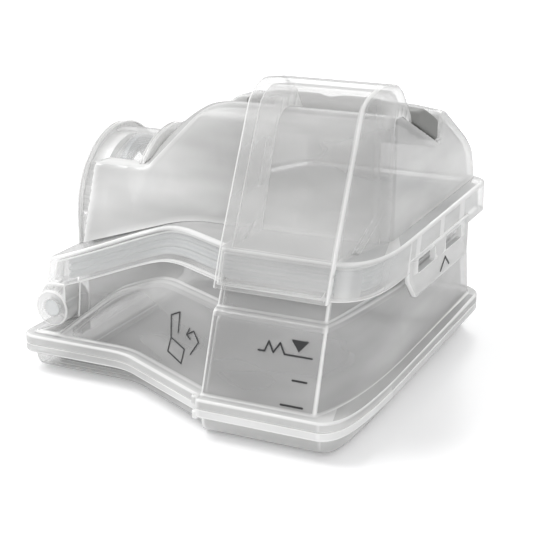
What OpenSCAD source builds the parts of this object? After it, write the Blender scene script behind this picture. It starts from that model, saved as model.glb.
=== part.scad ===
// Water tub of a bedside breathing machine's heated humidifier: a clear tank with a hinged clear lid.
// Millimetres. X runs to the right, Y to the back and Z up. The origin is the middle of the
// heater plate's underside, which is the face that the tub stands on.

/* [Footprint] */
// Width of the tank wall where it leaves the lower flange
tub_w = 120; // [100:0.5:145]
// Depth of the tank wall where it leaves the lower flange
tub_d = 127.5; // [108:0.5:155]
// From the tank's right face to the right edge of the flat front panel
panel_from_right = 8; // [6:0.5:12]
// Width of the flat front panel
panel_w = 36.8; // [28:0.2:44]
// From the front panel's face to the straight left part of the front wall
left_setback = 22.2; // [16:0.1:26]
// Angle of the slanting part of the front wall
slant = 27; // [20:1:34]
// Radius of the bend between the straight and the slanting part
bend_r = 25; // [15:1:35]
// Radius of the tank's rear corners
corner_r = 7; // [5:0.5:12]
// Radius of the tank's left front corner
front_r = 2; // [1.5:0.5:5]

/* [Tray and tank] */
// Wall thickness of the tray and the tank
wall = 2.2; // [1.6:0.1:3]
// How far the lower flange stands out from the tank wall
flange_out = 3.4; // [2.5:0.1:5]
// Height of the flange's underside
flange_bottom = 6.4; // [5.5:0.1:8]
// Height of the joint between tray and tank
joint_z = 9.4; // [8.5:0.1:10.5]
// Height of the flange's upper face
flange_top = 12.5; // [11:0.1:14]
// Height of the tank's shoulder at the front panel
shoulder_z = 36.8; // [32:0.1:42]
// Width of the ledge between the tank wall and the neck
ledge = 2.6; // [2:0.1:3.2]
// How far a wall leans back for each millimetre of height
lean = 0.352; // [0.25:0.001:0.42]
// Height of the neck's rim at the front panel
neck_top = 46.2; // [44.8:0.1:47]
// From the tank's left face to the neck's left face
neck_left_in = 15.6; // [15:0.1:18]

/* [Heater plate] */
// Thickness of the metal plate
plate_t = 1.2; // [0.8:0.1:1.5]
// Thickness of the gasket between plate and tray
gasket_t = 0.6; // [0.4:0.1:0.8]
// From the tank's outline to the edge of the plate
plate_inset = 5.8; // [5:0.1:8]
// Width of the tray's lip over the plate
lip_w = 5; // [4:0.5:8]

/* [Lid] */
// Height of the lid rim's lower edge at the front panel
rim_bottom = 43.4; // [42.5:0.1:44.4]
// Height of the lid rim's upper face at the front panel
rim_top = 54.2; // [53:0.1:56]
// How far the lid rim stands out past the tank on the right
rim_out = 3.4; // [2:0.1:5]
// From the tank's left face to the lid rim's left face
rim_left_in = 7.8; // [6:0.1:9]
// How far the rim has fallen where it meets the neck's left face
rim_drop = 12.1; // [9:0.1:13]
// Wall thickness of the lid
lid_wall = 2; // [1.4:0.1:2.6]
// Height of the dome's roof
dome_top = 89; // [86:0.5:92]
// Height of the low box at the dome's left
shelf_z = 68; // [64:0.5:71]
// Width of the low box at the dome's left
shelf_w = 11; // [10:0.5:14]
// From the tank's front face to the foot of the dome's front wall
dome_front_in = 35.7; // [32:0.1:40]

/* [Grip] */
// Height of the grip's top
grip_top = 100.2; // [97:0.1:104]
// From the tank's front face to the grip's upper bend
grip_bend_in = 33.5; // [30:0.1:37]

/* [Hinge] */
// Radius of the hinge pins
pin_r = 2.9; // [2:0.1:3.2]
// Running clearance of a pin in the lid's knuckle
pin_run = 0.05; // [0.02:0.01:0.1]
// Outer radius of the lid's knuckles
knuckle_r = 6; // [5:0.1:6.2]
// Length of each knuckle
knuckle_l = 9; // [7:0.5:12]
// Thickness of the tank's ears
ear_l = 5; // [4:0.5:8]
// Height of the hinge's axis
hinge_z = 22.8; // [22.5:0.1:24]
// How far the knuckles' outer faces lie from the tank's front and back faces
hinge_in = 20.2; // [19:0.1:24]

/* [Latch] */
// From the tub's middle to the middle of the latch tab
latch_y = 11; // [8:0.5:14]
// Length of the latch tab
latch_l = 59; // [50:1:62]
// Height of the tab's lower edge
latch_bottom = 33; // [31:0.5:35]
// Thickness of the tab
latch_t = 1.7; // [1.2:0.1:2]

/* [Air ports] */
// From the tub's middle to the middle of the inlet
inlet_y = 1.5; // [-1:0.5:4]
// Outer radius of the arched inlet shroud
inlet_r = 25.5; // [23:0.5:27]
// Height of the shroud's centre
inlet_z = 49.3; // [48:0.1:51]
// Radius of the hole that the inlet seal sits in
inlet_hole_r = 13.5; // [12:0.5:14]
// Height of the inlet hole's centre
inlet_hole_z = 57; // [56.5:0.5:58]
// Radius of the inlet seal's bore
inlet_bore_r = 10.5; // [9:0.5:11.5]
// Bore radius of the outlet duct
outlet_bore_r = 10; // [8:0.5:10.5]
// From the tub's middle to the outlet, to the right
outlet_x = 27; // [22:0.5:32]
// From the tub's middle to the outlet, to the back
outlet_y = 15.5; // [14:0.5:17]
// Height of the outlet duct's upper end
outlet_top = 86; // [84:0.5:88]
// Thickness of the outlet pad
pad_t = 7; // [4:0.5:8]

/* [Hidden] */
$fn = 64;
big = 300;              // longer than the whole object
fit_gap = 0.1;          // between pieces of one body that are welded or pressed together
soft_gap = 0.3;         // between the silicone seal and the tank's rim

hw = tub_w / 2;
hd = tub_d / 2;
panel_right = hw - panel_from_right;
panel_left = panel_right - panel_w;
step_in = 3.2;          // the slanting wall meets the panel's left edge this far behind its face
tuck = 1.6;             // the tank's right wall leans in by this much up to its shoulder
rim_proud = 0.8;        // the lid rim stands this far in front of the leaning wall

// The bend's start, so that straight, bend and slant run into each other and end at the panel
bend_dy = bend_r * (1 - cos(slant));
slant_dy = left_setback - step_in - bend_dy;
bend_x = panel_left - slant_dy / tan(slant) - bend_r * sin(slant);
bend_y = -hd + left_setback;

// ---- curves ----
function mix(a, b, t) = a + (b - a) * t;
function clamp01(t) = max(0, min(1, t));
function smooth(t) = let (c = clamp01(t)) c * c * (3 - 2 * c);
function arc(c, r, a0, a1, n) =
    [for (i = [0:n]) let (a = mix(a0, a1, i / n)) c + r * [cos(a), sin(a)]];
function bezier(p, n) =
    [for (i = [1:n]) let (t = i / n, s = 1 - t)
        s * s * s * p[0] + 3 * s * s * t * p[1] + 3 * s * t * t * p[2] + t * t * t * p[3]];
// A slope that starts smoothly around x0 and falls to the left
function fall(x, x0, k, r) =
    let (t = x0 - x) t <= -r ? 0 : t < r ? k * (t + r) * (t + r) / (4 * r) : k * t;
// Every corner of a closed outline moved inwards by d along the bisector
function shrink(p, d) = let (n = len(p)) [for (i = [0:n - 1])
    let (u = unit(p[i] - p[(i + n - 1) % n]), v = unit(p[(i + 1) % n] - p[i]),
         a = [-u.y, u.x], b = [-v.y, v.x])
    p[i] + (a + b) * d / (1 + a * b)];
function unit(v) = v / norm(v);

// ---- the plan outline of the tank and the lid rim, counterclockwise from its left front corner ----
// inset: distance inside the tank's outline; back_shift: how far the front leans back at this height;
// left: the left face; side: four control points of the right side's sweep
straight_n = 9;
bend_n = 5;
slant_n = 8;
side_n = 10;
corner_n = 4;
// How far the front has leaned back at height z
function lean_at(z) = lean * (z - flange_top);
function lean_share(x) = smooth((x + hw - neck_left_in + 1.5) / 36);
function shifted(p, s) = [for (q = p) q + [0, s * lean_share(q.x)]];
function front_curve(inset, left, r) =
    let (c = [bend_x, bend_y - bend_r], k = bend_r + inset,
         e = c + k * [sin(slant), cos(slant)],
         f = [panel_left - 0.45, e.y - (panel_left - 0.45 - e.x) * tan(slant)])
    concat(arc([left + r, bend_y + inset + r], r, 180, 270, corner_n),
           [for (i = [1:straight_n])
               mix([left + r, bend_y + inset], [bend_x, bend_y + inset], i / straight_n)],
           [for (i = [1:bend_n]) let (a = 90 - slant * i / bend_n) c + k * [cos(a), sin(a)]],
           [for (i = [1:slant_n]) mix(e, f, i / slant_n)]);
function plan(inset, back_shift, left, side, back, r) =
    concat(shifted(front_curve(inset, left, max(front_r - inset, 1.2)), back_shift),
           [[panel_left, side[0].y], side[0]],
           bezier(side, side_n),
           [for (i = [1:3]) mix(side[3], [side[3].x - 1.2, back - r], i / 4)],
           arc([side[3].x - 1.2 - r, back - r], r, 0, 90, corner_n),
           [for (i = [1:2]) mix([side[3].x - r, back], [left + r, back], i / 3)],
           arc([left + r, back - r], r, 90, 180, corner_n),
           [for (i = [1:4]) mix([left, back - r], [left, bend_y + 10], i / 5)]);

// The right side's sweep at the tray and flange, the tank's foot, its shoulder and the lid rim
function tray_side(i) =
    [[panel_right + 1.5 - 0.3 * i, -hd + i], [hw - 1.5 - 0.6 * i, -hd + 1 + 0.7 * i],
     [hw - 0.4 - 0.9 * i, -hd + 7 + 0.4 * i], [hw - 0.4 - i, -hd + 34]];
function foot_side(i) =
    [[panel_right - 0.5 * i, -hd + i], [hw - 1.9 - 0.8 * i, -hd + 11.2 + 0.4 * i],
     [hw - 0.5 - i, -hd + 31], [hw - 0.5 - i, -hd + 52]];
function top_side(i, s) =
    [[panel_right - 0.5 * i, -hd + s + i], [panel_right + 2.3 - 0.8 * i, -hd + s + 7 + 0.6 * i],
     [hw - 4 - i, -hd + 30], [hw - tuck - i, -hd + 52]];
function lid_side(i, s) =
    [[panel_right - 0.3 * i, -hd + s + i], [panel_right + 7.2 - 0.7 * i, -hd + s + 1.7 + 0.8 * i],
     [hw + rim_out - i, -hd + 0.9 * s + 9], [hw + rim_out - i, -hd + 0.9 * s + 28]];

function corner(i) = max(corner_r - i, 1.5);
function tray_plan(i) = plan(i, 0, -hw + i, tray_side(i), hd - i, corner(i));
function foot_plan(i) = plan(i, 0, -hw + i, foot_side(i), hd - i, corner(i));
function wall_plan(i, z) =
    let (s = lean_at(z)) plan(i, s, -hw + i, top_side(i, s), hd - i, corner(i));
neck_left = -hw + neck_left_in;
function neck_plan(i, z) =
    let (s = lean_at(z), in = ledge + i)
    plan(in, s, neck_left + i, top_side(in, s), hd - in, corner_r - 2);
rim_left = -hw + rim_left_in;
function rim_plan(i, z, left = rim_left) =
    let (s = lean_at(z)) plan(i - rim_proud, s, left + i, lid_side(i, s), hd + 1.5 - i, corner(i));

// Heights that fall to the left: the lid's parting line and, steeper, the tank's shoulder
fall_x = bend_x + 20;
fall_w = fall_x - neck_left;
rim_fall = rim_drop / fall_w;
function lid_fall(x) = fall(x, fall_x, rim_fall, 8);
function shoulder_at(x) =
    max(shoulder_z - fall(x, fall_x - 3, 1.08 * rim_fall, 6)
        - fall(x, fall_x - 0.606 * fall_w, 1.38 * rim_fall, 4), flange_top + 0.7);
function flat(p, z) = [for (q = p) [q.x, q.y, z]];
function falling(p, z) = [for (q = p) [q.x, q.y, z - lid_fall(q.x)]];
function on_shoulder(p, dz) = [for (q = p) [q.x, q.y, max(shoulder_at(q.x) + dz, flange_top + 0.5)]];

// A closed ring-shaped solid: each ring is the outline at one place of the wall's section,
// taken up the outside and down the inside
module ring_solid(rings) {
    n = len(rings[0]);
    m = len(rings);
    polyhedron(
        points = [for (r = rings) each r],
        faces = [for (k = [0:m - 1], i = [0:n - 1])
            let (here = k * n, next = (k + 1) % m * n, j = (i + 1) % n,
                 a = here + i, b = here + j, c = next + j, d = next + i)
            each [[a, d, c], [a, c, b]]]);
}

// A counterclockwise outline moved inwards by w, whose corners i were rounded to the radii radii[i]
function rounded(outline, radii, w = 0, n = 6) =
    let (p = shrink(outline, w), m = len(p)) [for (i = [0:m - 1])
        let (u = unit(p[(i + m - 1) % m] - p[i]), v = unit(p[(i + 1) % m] - p[i]), h = acos(u * v) / 2,
             side = u.y * v.x - u.x * v.y > 0 ? 1 : -1, r = radii[i] - side * w)
        each radii[i] <= 0 || r <= 0 ? [p[i]] :
            let (c = p[i] + unit(u + v) * r / sin(h), s = p[i] + u * r / tan(h) - c,
                 turn = (180 - 2 * h) * side)
            [for (k = [0:n]) let (a = turn * k / n)
                c + [s.x * cos(a) - s.y * sin(a), s.x * sin(a) + s.y * cos(a)]]];

// An outline in the XZ plane carried along Y, one in the YZ plane carried along X, and rods
module along_y(p, y0, y1) translate([0, y1, 0]) rotate([90, 0, 0]) linear_extrude(y1 - y0) polygon(p);
module along_x(p, x0, x1) translate([x0, 0, 0]) rotate([90, 0, 90]) linear_extrude(x1 - x0) polygon(p);
module rod_y(r, x, z, y0, y1) translate([x, y1, z]) rotate([90, 0, 0]) cylinder(r = r, h = y1 - y0);
module rod_x(r, y, z, x0, x1) translate([x0, y, z]) rotate([0, 90, 0]) cylinder(r = r, h = x1 - x0);

// ---- tray, plate and tank ----
floor_z = plate_t + gasket_t;
lip_t = 2;
plate_play = 0.3;       // between the plate's edge and the tray
foot_z = 0.5;           // the tray's foot stands this far above the plate's underside
module base_tray() color([0.86, 0.88, 0.88, 0.5])
    ring_solid([
        flat(tray_plan(plate_inset - plate_play), foot_z),
        flat(tray_plan(2.6), foot_z),
        flat(tray_plan(1.1), 1.2),
        flat(tray_plan(0.3), 2.4),
        flat(tray_plan(0), 4),
        flat(tray_plan(0), flange_bottom),
        flat(tray_plan(-flange_out + 0.8), flange_bottom + 0.1),
        flat(tray_plan(-flange_out), flange_bottom + 0.8),
        flat(tray_plan(-flange_out), joint_z),
        flat(tray_plan(wall), joint_z),
        flat(tray_plan(wall), floor_z + lip_t + 1),
        flat(tray_plan(wall + 1), floor_z + lip_t),
        flat(tray_plan(plate_inset + lip_w), floor_z + lip_t),
        flat(tray_plan(plate_inset + lip_w), floor_z),
        flat(tray_plan(plate_inset - plate_play), floor_z)]);

module heater_plate() color([0.35, 0.35, 0.36])
    linear_extrude(plate_t) polygon(tray_plan(plate_inset));

module heater_gasket() color([0.62, 0.66, 0.68])
    translate([0, 0, plate_t]) linear_extrude(gasket_t) difference() {
        polygon(tray_plan(plate_inset + 0.2));
        polygon(tray_plan(plate_inset + lip_w - 0.4));
    }

knuckle_gap = 0.5;      // between the lid's knuckle and the tank's neck
hinge_x = neck_left - knuckle_r - knuckle_gap;
front_knuckle = [-hd + hinge_in, -hd + hinge_in + knuckle_l];
rear_knuckle = [hd - hinge_in - knuckle_l, hd - hinge_in];
side_play = 0.3;        // between an ear and its knuckle, along the pin
front_ear = [front_knuckle[1] + side_play, front_knuckle[1] + side_play + ear_l];
rear_ear = [rear_knuckle[0] - side_play - ear_l, rear_knuckle[0] - side_play];
ear_r = pin_r + 2.6;
pin_fit = 0.02;         // between a pin and its ear, which grips it
ear_foot = 3;           // the ear's foot ends this far left of the axis, clear of the opening lid
module ear(y) {
    rod_y(ear_r, hinge_x, hinge_z, y[0], y[1]);
    translate([hinge_x - ear_foot, y[0], flange_top - 1])
        cube([ear_foot + ear_r, y[1] - y[0], hinge_z - flange_top + 1]);
}

window_l = 15.6;        // each window of the latch tab
window_gap = 11;        // the bar between the two windows
window_y = [latch_y - window_gap / 2 - window_l, latch_y + window_gap / 2];
lug_l = 12;
lug_z = [rim_bottom - 1.8, rim_bottom + 1];
lug_root = hw - tuck - ledge - 1;
lug_tip = lug_root + 3.6;
module latch_lug(y)
    along_y([[lug_root, lug_z[0]], [lug_tip, lug_z[0] + 0.8], [lug_tip, lug_z[1] - 1.2],
             [lug_root, lug_z[1]]], y, y + lug_l);

edge_drop = 1.8;        // height of the rounding between the tank's wall and its ledge
neck_taper = 0.8;       // the neck narrows by this much up to its rim
module tank_wall() color([0.82, 0.84, 0.84, 0.5]) difference() {
    union() {
        ring_solid([
            flat(tray_plan(-flange_out), joint_z + fit_gap),
            flat(tray_plan(-flange_out), flange_top - 0.8),
            flat(tray_plan(-flange_out + 0.8), flange_top),
            flat(foot_plan(0), flange_top + 0.2),
            on_shoulder(wall_plan(0, shoulder_z - edge_drop), -edge_drop),
            on_shoulder(wall_plan(0.6, shoulder_z - 0.6), -0.6),
            on_shoulder(wall_plan(1.6, shoulder_z), -0.1),
            on_shoulder(neck_plan(0, shoulder_z), 0.1),
            falling(neck_plan(neck_taper, neck_top), neck_top),
            falling(neck_plan(neck_taper + wall, neck_top), neck_top),
            on_shoulder(neck_plan(wall, shoulder_z), -wall),
            on_shoulder(wall_plan(wall + 0.4, shoulder_z - edge_drop), -wall - 1.6),
            flat(foot_plan(wall), flange_top - 1),
            flat(tray_plan(wall), joint_z + fit_gap)]);
        ear(front_ear);
        ear(rear_ear);
        for (y = window_y) latch_lug(y + (window_l - lug_l) / 2);
    }
    rod_y(pin_r + pin_fit, hinge_x, hinge_z, -hd, hd);
}
module hinge_pin(y) rod_y(pin_r, hinge_x, hinge_z, y[0], y[1]);
module hinge_pin_front() color([0.8, 0.82, 0.82]) hinge_pin([front_knuckle[0] + 0.4, front_ear[1]]);
module hinge_pin_rear() color([0.8, 0.82, 0.82]) hinge_pin([rear_ear[0], rear_knuckle[1] - 0.4]);

// ---- printed marks, each a thin layer on the wall that carries it ----
ink_t = 0.2;
ink_w = 0.8;
ink_gap = 0.1;
// A drawing in X and Z on a wall that passes through point p, turned about Z and leaning back
module on_wall(p, turn, tilt)
    translate(p) rotate([0, 0, -turn]) rotate([-tilt, 0, 0]) translate([0, -ink_gap, 0])
        rotate([90, 0, 0]) linear_extrude(ink_t) children();
module stroke(a, b, w = ink_w) {
    d = unit(b - a) * w / 2;
    n = [-d.y, d.x];
    polygon([a - d - n, b + d - n, b + d + n, a - d + n]);
}
module polyline(p, w = ink_w) for (i = [0:len(p) - 2]) stroke(p[i], p[i + 1], w);
panel_tilt = atan(lean);
mark_right = panel_w - 3.2;             // from the panel's left edge to the right end of the top line
module level_marks() color([0.08, 0.08, 0.08])
    on_wall([panel_left, -hd, flange_top], 0, panel_tilt) {
        top = 16.2;
        polyline([[mark_right, top], [mark_right - 8.6, top], [mark_right - 10.4, top + 3],
                  [mark_right - 12.2, top], [mark_right - 14, top + 3], [mark_right - 15, top],
                  [mark_right - 17, top]]);
        polygon([[mark_right - 4.3, top + 1.2], [mark_right - 1.5, top + 4.6],
                 [mark_right - 7.1, top + 4.6]]);
        stroke([mark_right - 6, 9.2], [mark_right - 1.4, 9.2]);
        stroke([mark_right - 10.2, 1.8], [mark_right - 2.4, 1.8]);
    }

// Two open leaves: how the tub unfolds for filling
pictogram_x = panel_left - 21;
pictogram_y = bend_y - bend_dy - (pictogram_x - bend_x - bend_r * sin(slant)) * tan(slant);
module fill_pictogram() color([0.08, 0.08, 0.08])
    on_wall([pictogram_x, pictogram_y, flange_top], slant, atan(lean * cos(slant))) {
        line = 0.6;
        polyline([[1, 5.5], [9, 4], [9, 8.5], [1, 10], [1, 5.5]], line);
        polyline([[1, 10], [-1.5, 16.5], [2.5, 18.5], [4, 12.4]], line);
        polyline([[12.5, 8], [15, 12.5], [11.5, 15], [8.4, 13]], line);
        polyline([[10.6, 12.2], [8.4, 13], [9.2, 15.2]], line);
    }

// ---- lid rim ----
dome_left = neck_left - 1;
dome_right = hw - 1.1;
dome_right_back = hw - 2.6;
dome_front = -hd + dome_front_in;
dome_back = hd - 0.8;
dome_r = 4;
// The dome's foot, point for point in step with the rim's outline
function dome_foot() = let (f = front_curve(0, rim_left, 2), k = corner_n + straight_n + 1)
    concat(arc([dome_left + dome_r, dome_front + dome_r], dome_r, 180, 270, corner_n),
           [for (i = [1:straight_n])
               mix([dome_left + dome_r, dome_front], [bend_x, dome_front], i / straight_n)],
           [for (i = [k:len(f) - 1]) [f[i].x, dome_front]],
           [[panel_left, dome_front], [panel_right, dome_front]],
           bezier([[panel_right, dome_front], [dome_right - 2, dome_front], [dome_right, dome_front + 2],
                   [dome_right, dome_front + 14]], side_n),
           [for (i = [1:3])
               mix([dome_right, dome_front + 14], [dome_right_back, dome_back - dome_r], i / 4)],
           arc([dome_right_back - dome_r, dome_back - dome_r], dome_r, 0, 90, corner_n),
           [for (i = [1:2])
               mix([dome_right_back - dome_r, dome_back], [dome_left + dome_r, dome_back], i / 3)],
           arc([dome_left + dome_r, dome_back - dome_r], dome_r, 90, 180, corner_n),
           [for (i = [1:4]) mix([dome_left, dome_back - dome_r], [dome_left, dome_front + 10], i / 5)]);

arm_flare = 2.4;        // the rim's left face leans out by this much down to its lower edge
latch_x = hw + rim_out - latch_t - 0.5;
latch_top = rim_bottom + 3.8;
latch_play = 0.3;
latch_ends = [latch_y - latch_l / 2, latch_y + latch_l / 2];
module lid_arm(y) {
    web = [hinge_x - knuckle_r + 1, neck_left - 1.2];
    rod_y(knuckle_r, hinge_x, hinge_z, y[0], y[1]);
    translate([web[0], y[0], hinge_z])
        cube([web[1] - web[0], y[1] - y[0], rim_bottom - lid_fall(neck_left) - hinge_z]);
}
module lid_rim() color([0.88, 0.9, 0.9, 0.5]) difference() {
    union() {
        ring_solid([
            falling(rim_plan(0, rim_bottom, rim_left - arm_flare), rim_bottom),
            falling(rim_plan(0, rim_top - 0.8), rim_top - 0.8),
            falling(rim_plan(0.8, rim_top), rim_top),
            falling(dome_foot(), rim_top),
            falling(dome_foot(), rim_top - lid_wall),
            falling(rim_plan(lid_wall, rim_top - lid_wall), rim_top - lid_wall),
            falling(rim_plan(lid_wall, rim_bottom, rim_left - arm_flare), rim_bottom)]);
        lid_arm(front_knuckle);
        lid_arm(rear_knuckle);
    }
    rod_y(pin_r + pin_run, hinge_x, hinge_z, -hd, hd);
    translate([hw - 3, latch_ends[0] - latch_play, 0])
        cube([20, latch_l + 2 * latch_play, latch_top + latch_play]);
}

// ---- dome ----
slope_w = 17;           // the slope between the low box and the roof
cheek_start = 20;       // from the dome's left face to the skewed cheek that cuts the slope's front corner
cheek_skew = 28;
cheek_w = 20;
slope_foot = dome_left + shelf_w;
slope_top = slope_foot + slope_w;
side_lean = 0.11;       // the right wall leans in for each millimetre of height
deck_z = [dome_top - 0.6, dome_top - 15.4];     // the outlet deck's front and back edges
deck_y = [-5, 28];
back_roof = dome_top - 5.5;
module extrusions(w) {
    h = dome_top;
    front_view = rounded(
        [[dome_left, -10], [dome_right + side_lean * (rim_top + 10), -10],
         [dome_right - side_lean * (h - rim_top), h], [slope_top, h], [slope_foot, shelf_z],
         [dome_left, shelf_z]],
        [0, 0, 3, 14, 0, 2.5], w);
    side_view = rounded(
        [[dome_front, -10], [dome_back, -10], [dome_back, 62], [dome_back - 6, 72],
         [dome_back - 14, back_roof - 2], [deck_y[1] + 2.2, back_roof], [deck_y[1], deck_z[1]],
         [deck_y[0], deck_z[0]], [dome_front + 12.5, h], [dome_front, rim_top]],
        [0, 0, 4, 8, 8, 1.5, 1.5, 0, 12, 0], w);
    cheek = shrink([[-big, shelf_z], [0, shelf_z], [2 * cheek_w, 2 * h - shelf_z],
                    [-big, 2 * h - shelf_z]], -w);
    difference() {
        intersection() {
            along_y(front_view, -big, big);
            along_x(side_view, -big, big);
            translate([0, 0, -big]) linear_extrude(2 * big) polygon(shrink(dome_foot(), w));
        }
        translate([dome_left + cheek_start, dome_front + 5, 0]) rotate([0, 0, cheek_skew])
            along_y(cheek, -big, big);
    }
}
// Everything under the rim's upper face, which falls to the left
module below_rim()
    along_y(concat([[-big, -big], [big, -big], [big, rim_top + fit_gap]],
                   [for (i = [9:-1:-9]) let (x = fall_x + i) [x, rim_top + fit_gap - lid_fall(x)]],
                   [[-big, rim_top + fit_gap - lid_fall(-big)]]), -big, big);

module arch(r, x0, x1) {
    rod_x(r, inlet_y, inlet_z, x0, x1);
    translate([x0, inlet_y - r, 20]) cube([x1 - x0, 2 * r, inlet_z - 20]);
}
inlet_left = dome_left - 6;
inlet_right = slope_foot + 6;
module lid_dome() color([0.84, 0.86, 0.86, 0.5]) difference() {
    extrusions(0);
    extrusions(lid_wall);
    below_rim();
    arch(inlet_r + fit_gap, -big, inlet_right + fit_gap);
    translate([outlet_x, outlet_y, 0]) cylinder(r = outlet_bore_r + lid_wall + fit_gap, h = big);
}

module inlet_port() color([0.88, 0.9, 0.9, 0.5]) difference() {
    union() {
        arch(inlet_r, inlet_left, inlet_right);
        arch(inlet_r + 1.5, inlet_left, inlet_left + 2);
        difference() {
            arch(inlet_r + 3, inlet_right - 2, inlet_right);
            extrusions(-fit_gap);
        }
    }
    difference() {
        arch(inlet_r - lid_wall, -big, big);
        translate([dome_left, -big, -big]) cube([lid_wall, 2 * big, 2 * big]);
    }
    extrusions(lid_wall);
    inlet_rod(inlet_hole_r, -big, big);
    below_rim();
}

// ---- air path ----
duct_wall = 1.6;
lip_out = 1.7;          // how far the inlet seal's lips reach past its hole
inlet_lip = 2;          // thickness of those lips, on both faces of the bulkhead
module inlet_rod(r, x0, x1) rod_x(r, inlet_y, inlet_hole_z, x0, x1);
module inlet_seal() color([0.7, 0.73, 0.76]) difference() {
    faces = [dome_left, dome_left + lid_wall];      // of the bulkhead
    union() {
        inlet_rod(inlet_hole_r - fit_gap, faces[0] - inlet_lip, faces[1] + inlet_lip);
        inlet_rod(inlet_hole_r + lip_out, faces[0] - inlet_lip, faces[0] - fit_gap);
        inlet_rod(inlet_hole_r + lip_out, faces[1] + fit_gap, faces[1] + inlet_lip);
    }
    inlet_rod(inlet_bore_r, -big, big);
}

splash_z = rim_bottom + 4;
splash_t = 2;
duct_x = dome_left + 24;
duct_start = dome_left + lid_wall + inlet_lip + fit_gap;
duct_r = inlet_bore_r + duct_wall;
duct_drop = 8;          // the inlet duct ends this far below the splash plate
module inlet_duct() color([0.86, 0.88, 0.88, 0.5]) difference() {
    union() {
        inlet_rod(duct_r, duct_start, duct_x);
        translate([duct_x, inlet_y, inlet_hole_z]) sphere(r = duct_r);
        translate([duct_x, inlet_y, splash_z - duct_drop])
            cylinder(r = duct_r, h = inlet_hole_z - splash_z + duct_drop);
    }
    inlet_rod(inlet_bore_r, -big, duct_x);
    translate([duct_x, inlet_y, inlet_hole_z]) sphere(r = inlet_bore_r);
    translate([duct_x, inlet_y, -big]) cylinder(r = inlet_bore_r, h = inlet_hole_z + big);
}

module outlet_duct() color([0.86, 0.88, 0.88, 0.5])
    translate([outlet_x, outlet_y, splash_z + splash_t + fit_gap]) difference() {
        h = outlet_top - splash_z - splash_t - fit_gap;
        union() {
            cylinder(r = outlet_bore_r + lid_wall, h = h);
            cylinder(r = outlet_bore_r + lid_wall + 2, h = 2);
        }
        translate([0, 0, -1]) cylinder(r = outlet_bore_r, h = h + 2);
    }

splash_play = 1;        // between the splash plate and the lid's inner faces
module splash_plate() color([0.84, 0.87, 0.88, 0.5])
    translate([0, 0, splash_z]) difference() {
        x = [dome_left + lid_wall + splash_play, hw - tuck - ledge - wall - 1.2 - splash_play];
        y = [dome_front + lid_wall + splash_play, dome_back - lid_wall - 4];
        linear_extrude(splash_t)
            polygon(rounded([[x[0], y[0]], [x[1], y[0]], [x[1], y[1]], [x[0], y[1]]], [4, 4, 4, 4]));
        translate([duct_x, inlet_y, -1]) cylinder(r = duct_r + fit_gap, h = splash_t + 2);
        translate([0, 0, -splash_z]) {
            inlet_rod(duct_r + fit_gap, -big, duct_x);
            inlet_rod(inlet_hole_r + lip_out + fit_gap, -big, duct_start);
        }
        translate([outlet_x, outlet_y, -1]) cylinder(r = outlet_bore_r, h = splash_t + 2);
    }

pad_lift = 0.35;        // the pad lies this far above the deck
pad_x = [slope_top + 13.4, dome_right - 3.2];
pad_y = [3.4, deck_y[1]];
function deck_at(y) =
    mix(deck_z[0], deck_z[1], (y - deck_y[0]) / (deck_y[1] - deck_y[0])) + pad_lift;
module outlet_seal() color([0.4, 0.4, 0.39]) difference() {
    intersection() {
        along_x(rounded([[pad_y[0], deck_at(pad_y[0])], [pad_y[1] - 0.6, deck_at(pad_y[1] - 0.6)],
                         [pad_y[1] + 0.6, deck_at(pad_y[1]) + pad_t - 1],
                         [pad_y[0] + 0.6, deck_at(pad_y[0]) + pad_t]],
                        [0.5, 0.5, 3, 0.5]), pad_x[0], pad_x[1]);
        along_y(rounded([[pad_x[0], 70], [pad_x[1], 70], [pad_x[1], dome_top + 0.5],
                         [pad_x[1] - 12, dome_top + 3], [pad_x[0] + 15, dome_top + 3],
                         [pad_x[0], dome_top - 1]],
                        [0, 0, 1, 20, 20, 1]), -big, big);
    }
    translate([outlet_x, outlet_y, 0]) cylinder(r = outlet_bore_r + lid_wall + fit_gap, h = big);
}

// ---- thumb grip ----
grip_wall = 2;
grip_side = 3;
grip_bend_y = -hd + grip_bend_in;
grip_foot_y = -hd + lean_at(rim_top) - rim_proud - fit_gap;
grip_skin = 1.6;        // the grip's apron in front of the lid rim
module grip_block(w, x0) {
    side_view = rounded(
        [[grip_foot_y - grip_skin, rim_top - 1 - 3 * w], [pad_y[0] - 0.6, rim_top - 1 - 3 * w],
         [pad_y[0] - 0.6, deck_z[0] - 1], [pad_y[0] - 6, grip_top - 4.5], [pad_y[0] - 10, grip_top - 2],
         [grip_bend_y + 9, grip_top], [grip_bend_y, grip_top - 3]],
        [0, 0, 0, 1, 1, 4, 9], w);
    foot_view = [[x0, -big], [panel_right - w, -big], [panel_right - w, grip_foot_y + 2],
                 [dome_right - w, dome_front + 4], [dome_right - w - 0.7, 5],
                 [dome_right - w - 0.7, big], [x0, big]];
    lean_view = [[-big, -big], [dome_right - w + side_lean * (rim_top + big), -big],
                 [dome_right - w - side_lean * (big - rim_top), big], [-big, big]];
    intersection() {
        along_x(side_view, x0, big);
        along_y(lean_view, -big, big);
        translate([0, 0, -big]) linear_extrude(2 * big) polygon(foot_view);
    }
}
module thumb_grip() color([0.9, 0.91, 0.91, 0.5]) difference() {
    union() {
        difference() {
            grip_block(0, panel_left);
            grip_block(grip_wall, panel_left + grip_side);
            extrusions(-fit_gap);
            below_rim();
        }
        apron = [for (z = [rim_bottom - 0.4, rim_top + 1]) -hd + lean_at(z) - rim_proud - fit_gap];
        along_x([[apron[0] - grip_skin, rim_bottom - 0.4], [apron[0], rim_bottom - 0.4],
                 [apron[1], rim_top + 1], [apron[1] - grip_skin, rim_top + 1]], panel_left, panel_right);
    }
}

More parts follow.
